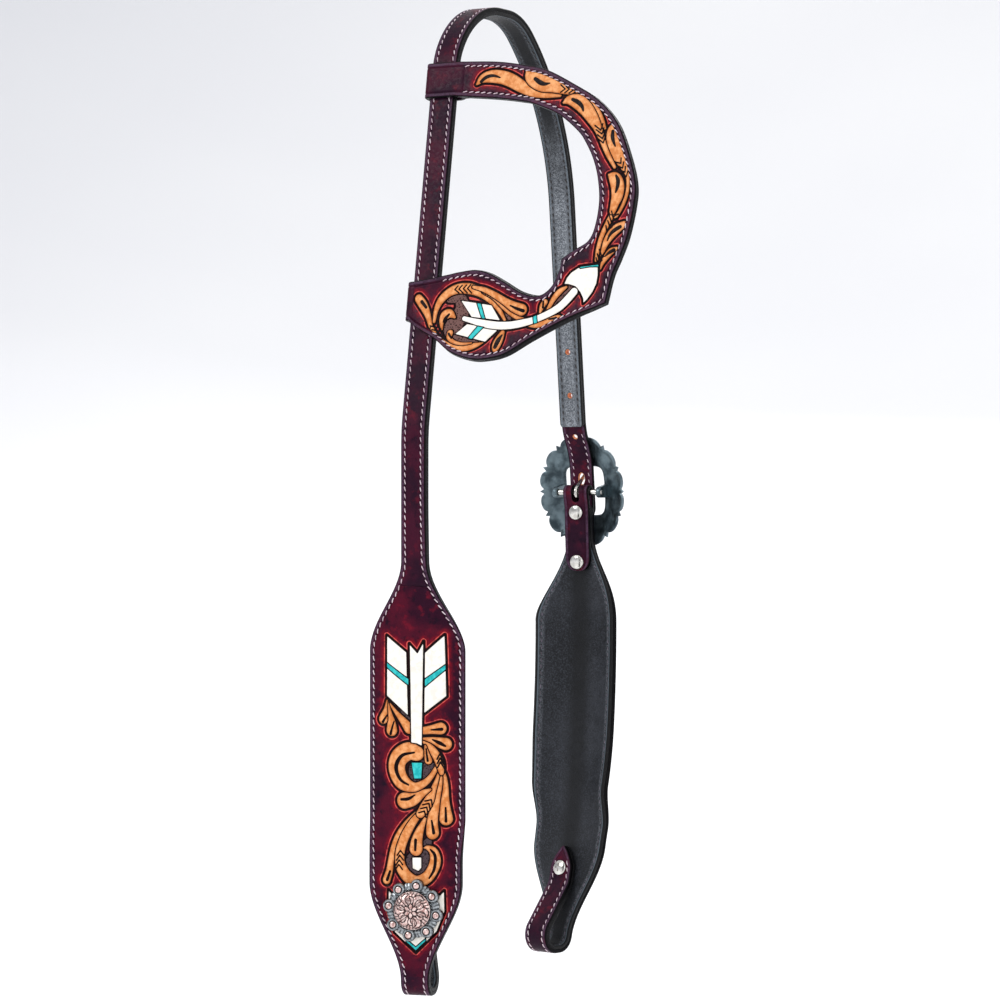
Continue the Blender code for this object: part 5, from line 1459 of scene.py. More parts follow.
@dataclass
class RingOf:
    """A Geometry Nodes tree that sets copies of one casting evenly round a circle."""

    name: str = "berry_ring"

    def __post_init__(self) -> None:
        """Builds the tree."""
        tree, given = new_tree(self.name, Casting="Geometry", Count="Int", Radius="Float", Phase="Float",
                               Finish="Material")
        self.tree = tree
        circle = add(tree, "GeometryNodeMeshCircle", {"Vertices": given["Count"], "Radius": given["Radius"]})
        turned_by = add(tree, "ShaderNodeCombineXYZ", {"Z": given["Phase"]}).outputs[0]
        placed = add(tree, "GeometryNodeTransform", {"Geometry": circle.outputs[0], "Rotation": turned_by})
        index = add(tree, "GeometryNodeInputIndex").outputs[0]
        share = number(tree, "DIVIDE", index, given["Count"])
        angle = number(tree, "MULTIPLY_ADD", share, math.tau, given["Phase"])
        turn = add(tree, "ShaderNodeCombineXYZ", {"Z": angle}).outputs[0]
        set_in = add(tree, "GeometryNodeInstanceOnPoints",
                     {"Points": placed.outputs[0], "Instance": given["Casting"], "Rotation": turn})
        real = add(tree, "GeometryNodeRealizeInstances", {"Geometry": set_in.outputs[0]}).outputs[0]
        done = add(tree, "GeometryNodeSetMaterial", {"Geometry": real, "Material": given["Finish"]}).outputs[0]
        add(tree, "NodeGroupOutput", {"Geometry": done})

    def set_round(self, casting: Object, count: int, radius: float, phase: float, finish: Material) -> None:
        """Sets copies of a casting round local Z, in its own object."""
        run_tree(casting, self.tree, {"Count": count, "Radius": radius, "Phase": phase, "Finish": finish})


# Places and sewing shared by the assemblies


def frame_on(place: Triple, twist_angle: float = 0.0, axis_y: float = 0.0) -> Matrix:
    """The pose of something fastened through a leather: local Z points outward, local Y up the leather."""
    y, z, heading = place
    outward = Vector((0.0, -math.sin(heading), math.cos(heading)))
    up = Vector((0.0, -math.cos(heading), -math.sin(heading)))
    if up.z < 0:
        up = -up
    pose = Matrix((up.cross(outward), up, outward)).transposed().to_4x4()
    turn = Matrix.Rotation(twist_angle, 4, "Z")
    centre = turn.to_3x3() @ Vector((0.0, y - axis_y, z)) + Vector((0.0, axis_y, 0.0))
    return Matrix.Translation(centre) @ turn @ pose


def sewing_lines(sheet: Sheet, height: float, outward: int, first: float = -math.inf,
                 last: float = math.inf) -> list[tuple[Array, Array]]:
    """Lines for the two stitch rows of a strap.

    Args:
        sheet: the strap's rows.
        height: where the thread lies over the reference face.
        outward: 1 where the thread shows on the outer face, -1 on the inner.
        first: station after which the rows are sewn.
        last: station before which they are.

    Returns:
        Points and outward directions of both rows.
    """
    lines = []
    sewn = (sheet.along > first) & (sheet.along < last)
    for side in (-1, 1):
        across = (side * (sheet.width / 2 - STITCH_INSET))[:, None] + np.array([[-0.0005, 0.0, 0.0005]])
        low, high = (sheet.raised(across, np.full_like(across, height + lift))[sewn, 1] for lift in (0.0, MM))
        lines.append((low, unit(high - low) * outward))
    return lines


@dataclass
class Sewing:
    """What one assembly is sewn with: pale dashes that come out of awl holes, and finer ones on its lining."""

    label: str
    body: Body
    finishes: Finishes
    lining_thread: Material
    lining_thick: float = 0.00034

    def __post_init__(self) -> None:
        """Builds the three trees."""
        self.dashes = StitchRow(f"{self.label}_dashes", True, self.finishes.thread)
        self.holes = StitchRow(f"{self.label}_awl_holes", False, self.finishes.awl, thick=0.00052)
        self.lock = StitchRow(f"{self.label}_lock_stitches", True, self.lining_thread, length=0.0022,
                              thick=self.lining_thick)

    def outside(self, names: tuple[str, str], sheet: Sheet, face: float, first: float, last: float) -> None:
        """Sews the outer face, which lies at a height, between two stations."""
        for name, row, sunk in zip(names, (self.dashes, self.holes), (THREAD_SUNK, HOLE_SUNK)):
            row.sew(name, sewing_lines(sheet, face - sunk, 1, first, last), self.body, Slot.BURGUNDY)

    def lining(self, name: str, lines: list[tuple[Array, Array]]) -> None:
        """Sews the lining's face."""
        self.lock.sew(name, lines, self.body, Slot.LINING)


@dataclass
class Straps:
    """Routes of the crown strap and of the far cheek, as the solids have them."""

    half_flat: float = 0.005
    near_slope: float = math.radians(9.46)
    near_top_turn: float = math.radians(60)
    near_top_radius: float = 0.0503
    near_side_radius: float = 0.0297
    near_run: float = 0.203
    near_bend_radius: float = 0.100
    near_drop: float = 0.0647
    far_slope: float = math.radians(6)
    far_top_turn: float = math.radians(40)
    far_top_radius: float = 0.0378
    far_side_radius: float = 0.1447
    far_run: float = 0.1741
    bar_outward: float = 0.0045
    chape_radius: float = 0.0021
    chape_width: float = 0.0170
    chape_flap: float = 0.0480
    billet_start: float = 0.044
    billet_end: float = 0.014
    billet_past: float = 0.0215
    near_twist_angle: float = math.radians(13)
    far_twist_angle: float = math.radians(-12)
    far_twist_above: float = 0.0140
    cheek_neck_share: float = 0.54
    cheek_bend_radius: float = 0.600
    cheek_lean: float = math.radians(11.5)
    chape_lean: float = math.radians(2.5)
    chape_closing: float = math.radians(10)
    chape_bend: float = 0.012
    below_chape: float = 0.0275

    def __post_init__(self) -> None:
        """Lays out every route."""
        self._near()
        self._far()
        self._far_cheek()
        y, z, _ = self.near.at(self.near_cheek.start)
        self.near_twist = Twist(y, z + TWIST_LENGTH / 2, self.near_twist_angle, only_near=True)
        y, z, _ = self.cheek.at(self.far_cheek.concho)
        self.far_twist = Twist(y, z + TWIST_LENGTH + self.far_twist_above, self.far_twist_angle)

    def _near(self) -> None:
        """The near half, from the top of the crown down the cheek and round its bit loop."""
        route = Route(0.0, 0.0, math.pi)
        route.straight(self.half_flat)
        route.arc(self.near_top_radius, self.near_top_turn)
        route.arc(self.near_side_radius, math.pi / 2 - self.near_top_turn - self.near_slope)
        self.shoulder = route.length
        route.straight(self.near_run)
        route.arc(self.near_bend_radius, self.near_slope)
        route.straight(self.near_drop)
        cheek = Cheek(route.length, STRAP_WIDTH, body=0.130, sag=0.005)
        route.straight(cheek.fold - route.length)
        cheek.add_bit_loop(route, 1, radius=0.0045, flat=0.0024, closing=math.radians(20), closed=SEAM_GAP)
        self.near, self.near_cheek = route, cheek

    def _far(self) -> None:
        """The far half, from the top of the crown to the end of the billet."""
        route = Route(0.0, 0.0, 0.0)
        top, length = self.far_top_turn, self.far_run
        route.straight(self.half_flat)
        route.arc(self.far_top_radius, -top)
        route.arc(self.far_side_radius, -(math.pi / 2 - top - self.far_slope))
        y, z, heading = route.place
        self.bar = (
            y + length * math.cos(heading) - self.bar_outward * math.sin(heading),
            z + length * math.sin(heading) + self.bar_outward * math.cos(heading),
        )
        route.straight(length - self.billet_start)
        shift = self.bar_outward + self.chape_radius + OUTER_LEATHER + 0.0005 - LINED
        run = self.billet_start - self.billet_end
        turn = 2 * math.atan(shift / run)
        radius = run / (2 * math.sin(turn))
        route.arc(radius, turn)
        route.arc(radius, -turn)
        self.billet_at_bar = route.length + self.billet_end
        route.straight(self.billet_end + self.billet_past)
        self.far = route

    def _far_cheek(self) -> None:
        """The far cheek, up the chape's flap, over the bar, down the cheek and round its bit loop."""
        lean, closing, bend = self.chape_lean, self.chape_closing, self.chape_bend
        radius = self.chape_radius
        start = (self.bar[0] + radius * math.cos(lean), self.bar[1] + radius * math.sin(lean))
        up = Route(*start, math.pi / 2 + lean)
        up.arc(radius, math.pi + closing)
        fold = 2 * radius - radius * (1 - math.cos(closing))
        slant = fold - (LINED + SEAM_GAP) - bend * (1 - math.cos(closing))
        up.straight(slant / math.sin(closing))
        up.arc(bend, -closing)
        up.straight(self.chape_flap - up.length + math.pi * radius)
        route = Route(up.place[0], up.place[1], up.place[2] + math.pi)
        for _, length, _, turn in reversed(up.pieces):
            if turn:
                route.arc(1 / abs(turn), -turn * length)
            else:
                route.straight(length)
        self.chape_at_bar = route.length
        route.straight(self.below_chape)
        cheek = Cheek(route.length, self.chape_width, body=0.137, sag=0.010)
        route.straight(cheek.neck * self.cheek_neck_share)
        route.arc(self.cheek_bend_radius, -(lean + self.cheek_lean))
        route.straight(cheek.fold - route.length)
        cheek.add_bit_loop(route, -1, radius=0.0086, flat=0.0034, closing=math.radians(28),
                           closed=2 * LINED + SEAM_GAP)
        self.cheek, self.far_cheek = route, cheek

    def cheek_face(self, distance: float) -> Triple:
        """Place and heading on the outer face of the far cheek."""
        y, z, heading = self.cheek.at(distance)
        return y - OUTER_LEATHER * math.sin(heading), z + OUTER_LEATHER * math.cos(heading), heading

    def concho_pose(self, side: Side) -> Matrix:
        """Where a side's concho sits on the outer face of its cheek."""
        if side is Side.NEAR:
            y, z, heading = self.near.at(self.near_cheek.concho)
            face = (y + STRAP_THICKNESS * math.sin(heading), z, heading + math.pi)
            return frame_on(face, self.near_twist.angle, self.near_twist.axis_y)
        face = self.cheek_face(self.far_cheek.concho)
        return frame_on(face, self.far_twist.angle, self.far_twist.axis_y)

    def crown_at(self, distance: float) -> Triple:
        """Place and heading on the whole crown strap by the distance from its top, near side negative."""
        if distance < 0:
            y, z, heading = self.near.at(-distance)
            return y, z, heading + math.pi
        return self.far.at(distance)

    def crown_sheet(self, places: Array) -> Sheet:
        """The crown strap's reference face, which is the inner face of its lining."""

        def width(distance: float) -> float:
            if distance < 0:
                return self.near_cheek.width(-distance)
            return STRAP_WIDTH * pointed(self.far.length - distance, 0.011)

        return strip(places, self.crown_at, width, lambda d: self.near_cheek.bow(-d), self.near_twist)

    def cheek_sheet(self, places: Array) -> Sheet:
        """The far cheek's reference face, which is the inner face of its outer leather."""

        def width(distance: float) -> float:
            if distance < self.far_cheek.start:
                rounded = min(distance / 0.0085, 1.0)
                return self.chape_width * (0.3 + 0.7 * math.sqrt(rounded * (2 - rounded)))
            return self.far_cheek.width(distance)

        return strip(places, self.cheek.at, width, self.far_cheek.bow, self.far_twist)


def rows_for(parts: Sequence[Triple], steps_at: Sequence[float] = ()) -> Array:
    """Stations for a strap's rows.

    Args:
        parts: first, last and spacing of each stretch.
        steps_at: stations that get two rows close together, where the leather steps down.

    Returns:
        Stations in rising order.
    """
    step_width = 0.00004
    found = np.concatenate([spread(*part) for part in parts])
    for station in steps_at:
        found = found[np.abs(found - station) > 0.0003]
        found = np.append(found, [station - step_width, station])
    found = np.sort(found)
    return found[np.append(True, np.diff(found) > step_width / 2)]


def post_hole(pose: Matrix) -> Object:
    """The cutter for a concho post's hole through both leathers of a bit loop."""
    return rod("post_hole", POST_HOLE_RADIUS, -0.0140, CUT_PAST, pose)


def cheek_drawing_places(across: Array, down: Array) -> Array:
    """Places on the cheeks' drawing, in millimetres.

    Args:
        across: distances across the cheek, as rows by columns.
        down: distance of each row from the cheek's start.

    Returns:
        Places as rows by columns by two.
    """
    rows = np.repeat(down[:, None], across.shape[1], 1) / PATTERN_STRETCH
    return np.stack([(across - PATTERN_SHIFT) / PATTERN_NARROW, rows], -1) / MM


@dataclass
class CrownStrap:
    """The long strap: near bit loop, near cheek, crown and punched billet, with its lining."""

    straps: Straps
    finishes: Finishes
    panel_start: float = 0.014
    panel_end_above_fold: float = 0.002
    lining_stops: float = 0.0415
    spare_holes: int = 3
    hole_spacing: float = 0.0265
    hole_radius: float = 0.00175
    tongue_hole_above: float = 0.0076
    tongue_hole_radius: float = 0.00245
    tongue_hole_stretch: float = 0.0070 / 0.0042
    rim_sunk: float = 0.0003
    tip_unsewn: float = 0.012
    billet_unsewn: float = 0.014

    def build(self) -> None:
        """Builds and dresses every piece of the strap."""
        cheek, bar, end = self.straps.near_cheek, self.straps.billet_at_bar, self.straps.far.length
        sunk = (-(cheek.fold - self.panel_end_above_fold - PANEL_LAP),
                -(cheek.start + self.panel_start + PANEL_LAP))
        places = rows_for((
            (-cheek.tip, -cheek.fold + 0.001, 0.0007), (-cheek.fold + 0.0015, -cheek.start, 0.0009),
            (-cheek.start + 0.001, bar - 0.05, 0.0025), (bar - 0.049, end - 0.003, 0.0015),
            (end - 0.0025, end, 0.0003),
        ), sunk)
        sheet = self.straps.crown_sheet(places)
        # The two leathers' faces stay a hair apart, so that no two faces lie in one place.
        strap = Layer(LINED - 0.00004, STRAP_THICKNESS).made("crown_strap_leather", sheet, sunk)
        stop = bar - self.lining_stops
        lined = self.straps.crown_sheet(np.append(places[places < stop - 0.0005], stop))
        lining = lining_layer(0.0, LINED - 0.00008).made("crown_lining_leather", lined)
        self._punch(strap, lining)
        self._near_panel()
        self._sew(sheet, lined)

    def _punch(self, strap: Object, lining: Object) -> None:
        """Punches the billet's holes and the post's, and lines the billet's with raw leather."""
        straps, finishes = self.straps, self.finishes
        reach = STRAP_THICKNESS + CUT_PAST
        cutters, through = [], []
        for index in range(self.spare_holes):
            back = self.tongue_hole_above + self.hole_spacing * (index + 1)
            pose = frame_on(straps.far.at(straps.billet_at_bar - back))
            hole = rod(f"punch_{index}", self.hole_radius, -CUT_PAST, reach, pose)
            cutters.append(hole)
            lined = back > self.lining_stops
            if lined:
                through.append(hole)
            self._rim(f"billet_hole_rim_{index + 1}", self.hole_radius, 0.0 if lined else LINED, pose)
        pose = frame_on(straps.far.at(straps.billet_at_bar - self.tongue_hole_above))
        size = self.tongue_hole_radius
        cutters.append(rod("tongue_punch", size, -CUT_PAST, reach, pose, self.tongue_hole_stretch))
        self._rim("tongue_hole_rim", size, LINED, pose, self.tongue_hole_stretch)
        post = post_hole(straps.concho_pose(Side.NEAR))
        punch(strap, cutters + [post])
        punch(lining, through + [post])
        discard(cutters + [post])
        dress(strap, Body.CROWN, Slot.BURGUNDY, finishes.strap, ["crown_strap"])
        dress(lining, Body.CROWN, Slot.LINING, finishes.lining, ["crown_lining"])

    def _rim(self, name: str, radius: float, face: float, pose: Matrix, stretch: float = 1.0) -> None:
        """A raw leather rim inside a punched hole, from the hole's inner face to the strap's outer one."""
        inner, outer = radius - 0.00035, radius + 0.0001
        low, high = face + self.rim_sunk, STRAP_THICKNESS - self.rim_sunk
        rim = turned(name, [(inner, high - 0.0002), (inner + 0.0001, high), (outer, high + 0.00015),
                            (outer, low), (inner, low)], 32)
        rim.data.transform(pose @ Matrix.Diagonal((1.0, stretch, 1.0, 1.0)))
        dress(rim, Body.CROWN, Slot.BURGUNDY, self.finishes.raw)

    def _near_panel(self) -> None:
        """Lets the tooled panel into the near cheek."""
        cheek = self.straps.near_cheek
        first, last = cheek.start + self.panel_start, cheek.fold - self.panel_end_above_fold
        places = -spread(first, last, FINE_STEP)[::-1]
        sheet = self.straps.crown_sheet(places)
        panel = Panel(Drawing(CHEEK_SHAPES), STRAP_THICKNESS)
        flat = cheek_drawing_places(panel.across(sheet), -places - cheek.start)
        made = panel.made("near_cheek_tooled_panel", sheet, flat)
        dress(made, Body.CROWN, Slot.BURGUNDY, self.finishes.cheek_tooling)

    def _sew(self, sheet: Sheet, lined: Sheet) -> None:
        """Sews the strap from the near loop to the billet's end, whose back isn't lined."""
        straps = self.straps
        first, last = self.tip_unsewn - straps.near_cheek.tip, straps.far.length - self.billet_unsewn
        sewing = Sewing("crown", Body.CROWN, self.finishes, self.finishes.dark_thread, 0.00056)
        sewing.outside(("crown_strap_stitches", "crown_strap_awl_holes"), sheet, STRAP_THICKNESS, first, last)
        sewing.lining("crown_lining_stitches", sewing_lines(lined, 0.0001, -1, first, lined.along[-1] - 0.004))
        unlined = straps.billet_at_bar - self.lining_stops + 0.004
        back = sewing_lines(sheet, LINED + 0.00006, -1, unlined, last)
        sewing.dashes.sew("billet_back_stitches", back, Body.CROWN, Slot.BURGUNDY)


@dataclass
class FarCheekStrap:
    """The far cheek with its chape and lining, and the two rivets that close the chape."""

    straps: Straps
    finishes: Finishes
    lining_below_bar: float = 0.0072
    slot_width: float = 0.0052
    slot_below_bar: float = 0.0060
    rivets_below_bar: Span = (0.0122, 0.0425)
    sewn_below_bar: float = 0.010
    lining_sewn_below_bar: float = 0.040
    tip_unsewn: float = 0.010
    cap_radius: float = 0.0046
    cap_rise: float = 0.0024
    post_radius: float = 0.0019
    panel_start: float = 0.016
    panel_end_above_fold: float = 0.002

    def build(self) -> None:
        """Builds and dresses the cheek."""
        straps, cheek = self.straps, self.straps.far_cheek
        sunk = (cheek.start + self.panel_start + PANEL_LAP, cheek.fold - self.panel_end_above_fold - PANEL_LAP)
        bar = straps.chape_at_bar
        places = rows_for((
            (0.0, 0.0090, 0.0004), (0.0096, bar - 0.012, 0.0012), (bar - 0.0115, bar + 0.004, 0.0004),
            (bar + 0.0048, cheek.start, 0.0012), (cheek.start + 0.0009, cheek.fold - 0.0005, 0.0009),
            (cheek.fold, cheek.tip, 0.0008),
        ), sunk)
        sheet = straps.cheek_sheet(places)
        leather = Layer(0.0, OUTER_LEATHER).made("far_cheek_leather", sheet, sunk)
        lined = straps.cheek_sheet(places[places > bar + self.lining_below_bar])
        lining = lining_layer(-LINED + 0.0002, -0.00006).made("far_cheek_lining_leather", lined)
        self._chape(leather, lining)
        self._panel()
        self._sew(sheet, lined)

    def _chape(self, leather: Object, lining: Object) -> None:
        """Cuts the tongue's slot and the rivets' and post's holes, and sets the rivet caps."""
        straps, finishes = self.straps, self.finishes
        chape_outer = straps.chape_radius + OUTER_LEATHER
        pose = frame_on(straps.cheek.at(straps.chape_at_bar))
        half, low, high = self.slot_width / 2, -2 * chape_outer - CUT_PAST, CUT_PAST + OUTER_LEATHER
        foot = -(self.slot_below_bar - half)
        end = rod("slot_end", half, low, high, pose @ Matrix.Translation((0.0, foot, 0.0)))
        slot = block("slot", (-half, foot, low), (half, chape_outer + CUT_PAST, high), pose)
        cutters = []
        seat = -(2 * OUTER_LEATHER + LINED + 2 * SEAM_GAP)
        for label, below in zip(("upper", "lower"), self.rivets_below_bar):
            at_rivet = frame_on(straps.cheek_face(straps.chape_at_bar + below))
            cutters.append(rod(f"{label}_cut", self.post_radius, seat - CUT_PAST, CUT_PAST, at_rivet))
            self._cap(label, seat, at_rivet)
        post = post_hole(straps.concho_pose(Side.FAR))
        cutters.append(post)
        punch(leather, [slot, end, *cutters])
        punch(lining, cutters)
        discard([slot, end, *cutters])
        dress(leather, Body.FAR_CHEEK, Slot.BURGUNDY, finishes.strap, ["far_cheek"])
        dress(lining, Body.FAR_CHEEK, Slot.LINING, finishes.lining, ["far_cheek_lining"])

    def _cap(self, label: str, seat: float, pose: Matrix) -> None:
        """A domed rivet cap with a rolled rim."""
        radius, rise = self.cap_radius, self.cap_rise
        shares = np.linspace(1.0, 0.0, 12)[1:]
        dome = [(radius * wide, seat - rise * (0.34 + 0.66 * math.sqrt(max(1 - (wide / 1.02) ** 2, 0))))
                for wide in shares]
        profile = [(0.0, seat - 0.0010), (self.post_radius, seat - 0.0010), (self.post_radius, seat),
                   (radius * 0.97, seat), (radius, seat - rise * 0.10), (radius, seat - rise * 0.24),
                   (radius * 0.98, seat - rise * 0.36), *dome]
        cap = turned(f"{label}_rivet_cap_domed", profile, 40, pose)
        dress(cap, Body.FAR_CHEEK, Slot.NICKEL, self.finishes.nickel, [f"{label}_rivet_cap"])

    def _panel(self) -> None:
        """Lets the mirrored tooled panel into the far cheek's outer face."""
        cheek = self.straps.far_cheek
        first, last = cheek.start + self.panel_start, cheek.fold - self.panel_end_above_fold
        places = spread(first, last, FINE_STEP)
        sheet = self.straps.cheek_sheet(places)
        panel = Panel(Drawing(CHEEK_SHAPES), OUTER_LEATHER)
        near = self.straps.near_cheek
        grown = (near.concho - near.start) / (cheek.concho - cheek.start)
        flat = cheek_drawing_places(-panel.across(sheet), (places - cheek.start) * grown)
        made = panel.made("far_cheek_tooled_panel", sheet, flat)
        dress(made, Body.FAR_CHEEK, Slot.BURGUNDY, self.finishes.cheek_tooling)

    def _sew(self, sheet: Sheet, lined: Sheet) -> None:
        """Sews the cheek below the chape."""
        bar, last = self.straps.chape_at_bar, self.straps.far_cheek.tip - self.tip_unsewn
        sewing = Sewing("far", Body.FAR_CHEEK, self.finishes, self.finishes.grey_thread)
        sewing.outside(("far_cheek_stitches", "far_cheek_awl_holes"), sheet, OUTER_LEATHER,
                       bar + self.sewn_below_bar, last)
        back = sewing_lines(lined, -LINED + 0.0003, -1, bar + self.lining_sewn_below_bar, last)
        sewing.lining("far_lining_stitches", back)


EAR_OUTER_SHARES = (
    (0.08, 0.000), (0.28, 0.010), (0.43, 0.030), (0.53, 0.050), (0.66, 0.100), (0.79, 0.160),
    (0.89, 0.240), (0.96, 0.350), (0.998, 0.440), (1.00, 0.510), (0.98, 0.610), (0.95, 0.680),
    (0.92, 0.740), (0.90, 0.825), (0.84, 0.843), (0.785, 0.858), (0.69, 0.889), (0.56, 0.938),
    (0.445, 0.985), (0.345, 1.000), (0.265, 0.997), (0.17, 0.973), (0.09, 0.930), (0.0, 0.893),
    (-0.045, 0.871),
)
EAR_INNER_SHARES = (
    (0.08, 0.117), (0.28, 0.133), (0.41, 0.148), (0.475, 0.160), (0.60, 0.200), (0.70, 0.258),
    (0.745, 0.300), (0.787, 0.356), (0.815, 0.418), (0.83, 0.493), (0.82, 0.573), (0.793, 0.620),
    (0.735, 0.646), (0.672, 0.675), (0.667, 0.713), (0.635, 0.766), (0.58, 0.792), (0.498, 0.780),
    (0.409, 0.743), (0.333, 0.714), (0.265, 0.702), (0.186, 0.707), (0.126, 0.714), (0.0, 0.727),
    (-0.045, 0.731),
)


@dataclass
class EarPiece:
    """The D-shaped ear piece, whose two ends wrap round the near strap, with its lining."""

    straps: Straps
    finishes: Finishes
    reach: float = 0.1313
    drop: float = 0.1743
    over_shoulder: float = 0.0015
    play: float = 0.0005
    wrap_radius: float = 0.0009
    tail: float = 0.0115
    tail_ramp: float = math.radians(38)
    tail_bend: float = 0.003
    cup: float = 0.0022
    corner: int = 13
    parts: int = 12
    finer: int = 6
    join_step: float = 0.0012
    bare_rows: int = 3
    upper_band: Span = (0.000, 0.117)
    lower_band: Span = (0.861, 0.732)

    def __post_init__(self) -> None:
        """Finds the plane of the strap that the piece slides on."""
        y, z, heading = self.straps.near.at(self.straps.shoulder)
        self.down = np.array((0.0, math.cos(heading), math.sin(heading)))
        self.outward = np.array((0.0, math.sin(heading), -math.cos(heading)))
        self.origin = np.array((0.0, y, z)) - self.down * self.over_shoulder
        self.front = STRAP_THICKNESS + self.play

    def build(self) -> None:
        """Builds and dresses the piece."""
        finishes = self.finishes
        face = self._face(self.parts)
        x_edge = STRAP_WIDTH / 2 + self.play
        clear = np.nonzero((face[0][:, 0] > x_edge) & (face[1][:, 0] > x_edge))[0]
        first, last = clear[0] + self.bare_rows, len(face[0]) - self.bare_rows
        whole, start = self._whole(face)
        along = whole.along[start:]
        leather = Layer(0.0, OUTER_LEATHER).made("ear_piece_leather", whole, (along[first], along[last]))
        dress(leather, Body.EAR, Slot.BURGUNDY, finishes.strap, ["ear_piece"])
        lined = self._sheet([side[clear] for side in face])
        lining = lining_layer(-LINED + 0.0001, -0.00006).made("ear_lining_leather", lined)
        dress(lining, Body.EAR, Slot.LINING, finishes.lining, ["ear_lining"])
        self._panel((first - 1) * self.finer, (last + 1) * self.finer)
        sewing = Sewing("ear", Body.EAR, finishes, finishes.grey_thread)
        sewing.outside(("ear_stitches", "ear_awl_pits"), whole, OUTER_LEATHER, along[clear[0] + 1],
                       along[clear[-1] - 1])
        sewing.lining("ear_lining_stitches", sewing_lines(lined, -LINED + 0.0002, -1))

    def _edge(self, shares: Sequence[Span], parts: int) -> Array:
        """Points along an edge of the D, curved through its shares and sharp at its corner."""
        points = np.array(shares) * (self.reach, self.drop)
        t = np.arange(parts)[:, None] / parts
        last = len(points) - 1
        made = []
        for index in range(last):
            a, b = points[index], points[index + 1]
            before = points[index - 1] if index not in (0, self.corner) else a * 2 - b
            after = points[index + 2] if index + 1 not in (self.corner, last) else b * 2 - a
            made.append(between(before, a, b, after, t))
        return np.vstack(made + [points[-1:]])

    def _face(self, parts: int) -> list[Array]:
        """Outer and inner edge of the D as (x, down, out) points, and how deep each row is cupped."""
        outer, inner = self._edge(EAR_OUTER_SHARES, parts), self._edge(EAR_INNER_SHARES, parts)
        share = np.linspace(0, 1, len(outer))
        cup = self.cup * ease((share - 0.5) / 0.5 * 2) * ease((1 - share) / 0.12)
        lift = np.full(len(outer), self.front)
        return [np.column_stack([outer, lift]), np.column_stack([inner, lift]), cup]

    def _wrap(self) -> Array:
        """The end of an arm from its tail, behind the strap and round its edge, as (x, out) points."""
        back, edge = -self.play, STRAP_WIDTH / 2 + self.play
        seated = self.front - LINED - SEAM_GAP
        ramp, bend = self.tail_ramp, self.tail_bend
        straight = (seated - back - 2 * bend * (1 - math.cos(ramp))) / math.sin(ramp)
        length = straight * math.cos(ramp) + 2 * bend * math.sin(ramp)
        route = Route(edge + length + self.tail, seated, math.pi)
        route.straight(self.tail)
        route.arc(bend, ramp)
        route.straight(straight)
        route.arc(bend, -ramp)
        route.straight(2 * edge - self.wrap_radius)
        route.arc(self.wrap_radius, -math.pi / 2)
        route.straight(self.front - back - 2 * self.wrap_radius)
        route.arc(self.wrap_radius, -math.pi / 2)
        turn = route.length - (self.front - back) - math.pi * self.wrap_radius
        places = rows_for(((0.0, turn, 0.0016), (turn + 0.0002, route.length, 0.00025)))
        return np.array([route.at(float(place))[:2] for place in places])

    def _whole(self, face: list[Array]) -> tuple[Sheet, int]:
        """The whole leather from one tail to the other, and the number of its first face row."""
        wrap = self._wrap()
        x0 = wrap[-1, 0]
        arms = []
        for band, end in ((self.upper_band, 0), (self.lower_band, -1)):
            stop = face[0][end, 0]
            count = max(int(abs(stop - x0) / self.join_step), 2) + 1
            run = np.linspace(x0, stop, count)[1:-1]
            arm = []
            for share, edge in zip(band, face):
                down = share * self.drop
                drop = np.linspace(down, edge[end, 1], count)[1:-1]
                arm.append(np.vstack([
                    np.column_stack([wrap[:, 0], np.full(len(wrap), down), wrap[:, 1]]),
                    np.column_stack([run, drop, np.full(len(run), self.front)]),
                ]))
            arms.append(arm)
        upper, lower = arms
        outer, inner = (np.vstack([upper[n], face[n], lower[n][::-1]]) for n in (0, 1))
        cup = np.concatenate([np.zeros(len(upper[0])), face[2], np.zeros(len(lower[0]))])
        return self._sheet([outer, inner, cup]), len(upper[0])

    def _sheet(self, lines: list[Array]) -> Sheet:
        """A sheet between an outer and an inner edge that are given in the strap's plane, and cupped."""
        outer, inner, cup = self._world(lines[0]), self._world(lines[1]), lines[2]
        width = np.linalg.norm(inner - outer, axis=1)
        middle = (outer + inner) / 2
        along = np.concatenate([[0.0], np.cumsum(np.linalg.norm(np.diff(middle, axis=0), axis=1))])
        out = np.tile(self.outward, (len(outer), 1))
        return Sheet(middle, unit(inner - outer), out, -4 * cup / width ** 2, width, along)

    def _world(self, places: Array) -> Array:
        """Points from (x, down, out) places."""
        x = places[:, :1] * np.array([[1.0, 0.0, 0.0]])
        return self.origin + x + places[:, 1:2] * self.down + places[:, 2:] * self.outward

    def _panel(self, first: int, last: int) -> None:
        """Lets the tooled panel into the D, between two rows of its finer face."""
        chosen = [each[first:last + 1:2] for each in self._face(self.parts * self.finer)]
        sheet = self._sheet(chosen)
        panel = Panel(Drawing(EAR_SHAPES), OUTER_LEATHER, step=1.25 * FINE_STEP)
        across = panel.across(sheet)
        share = across / sheet.width[:, None] + 0.5
        flat = chosen[0][:, None, :2] + (chosen[1] - chosen[0])[:, None, :2] * share[..., None]
        made = panel.made("ear_tooled_panel", sheet, flat / MM)
        dress(made, Body.EAR, Slot.BURGUNDY, self.finishes.ear_tooling)


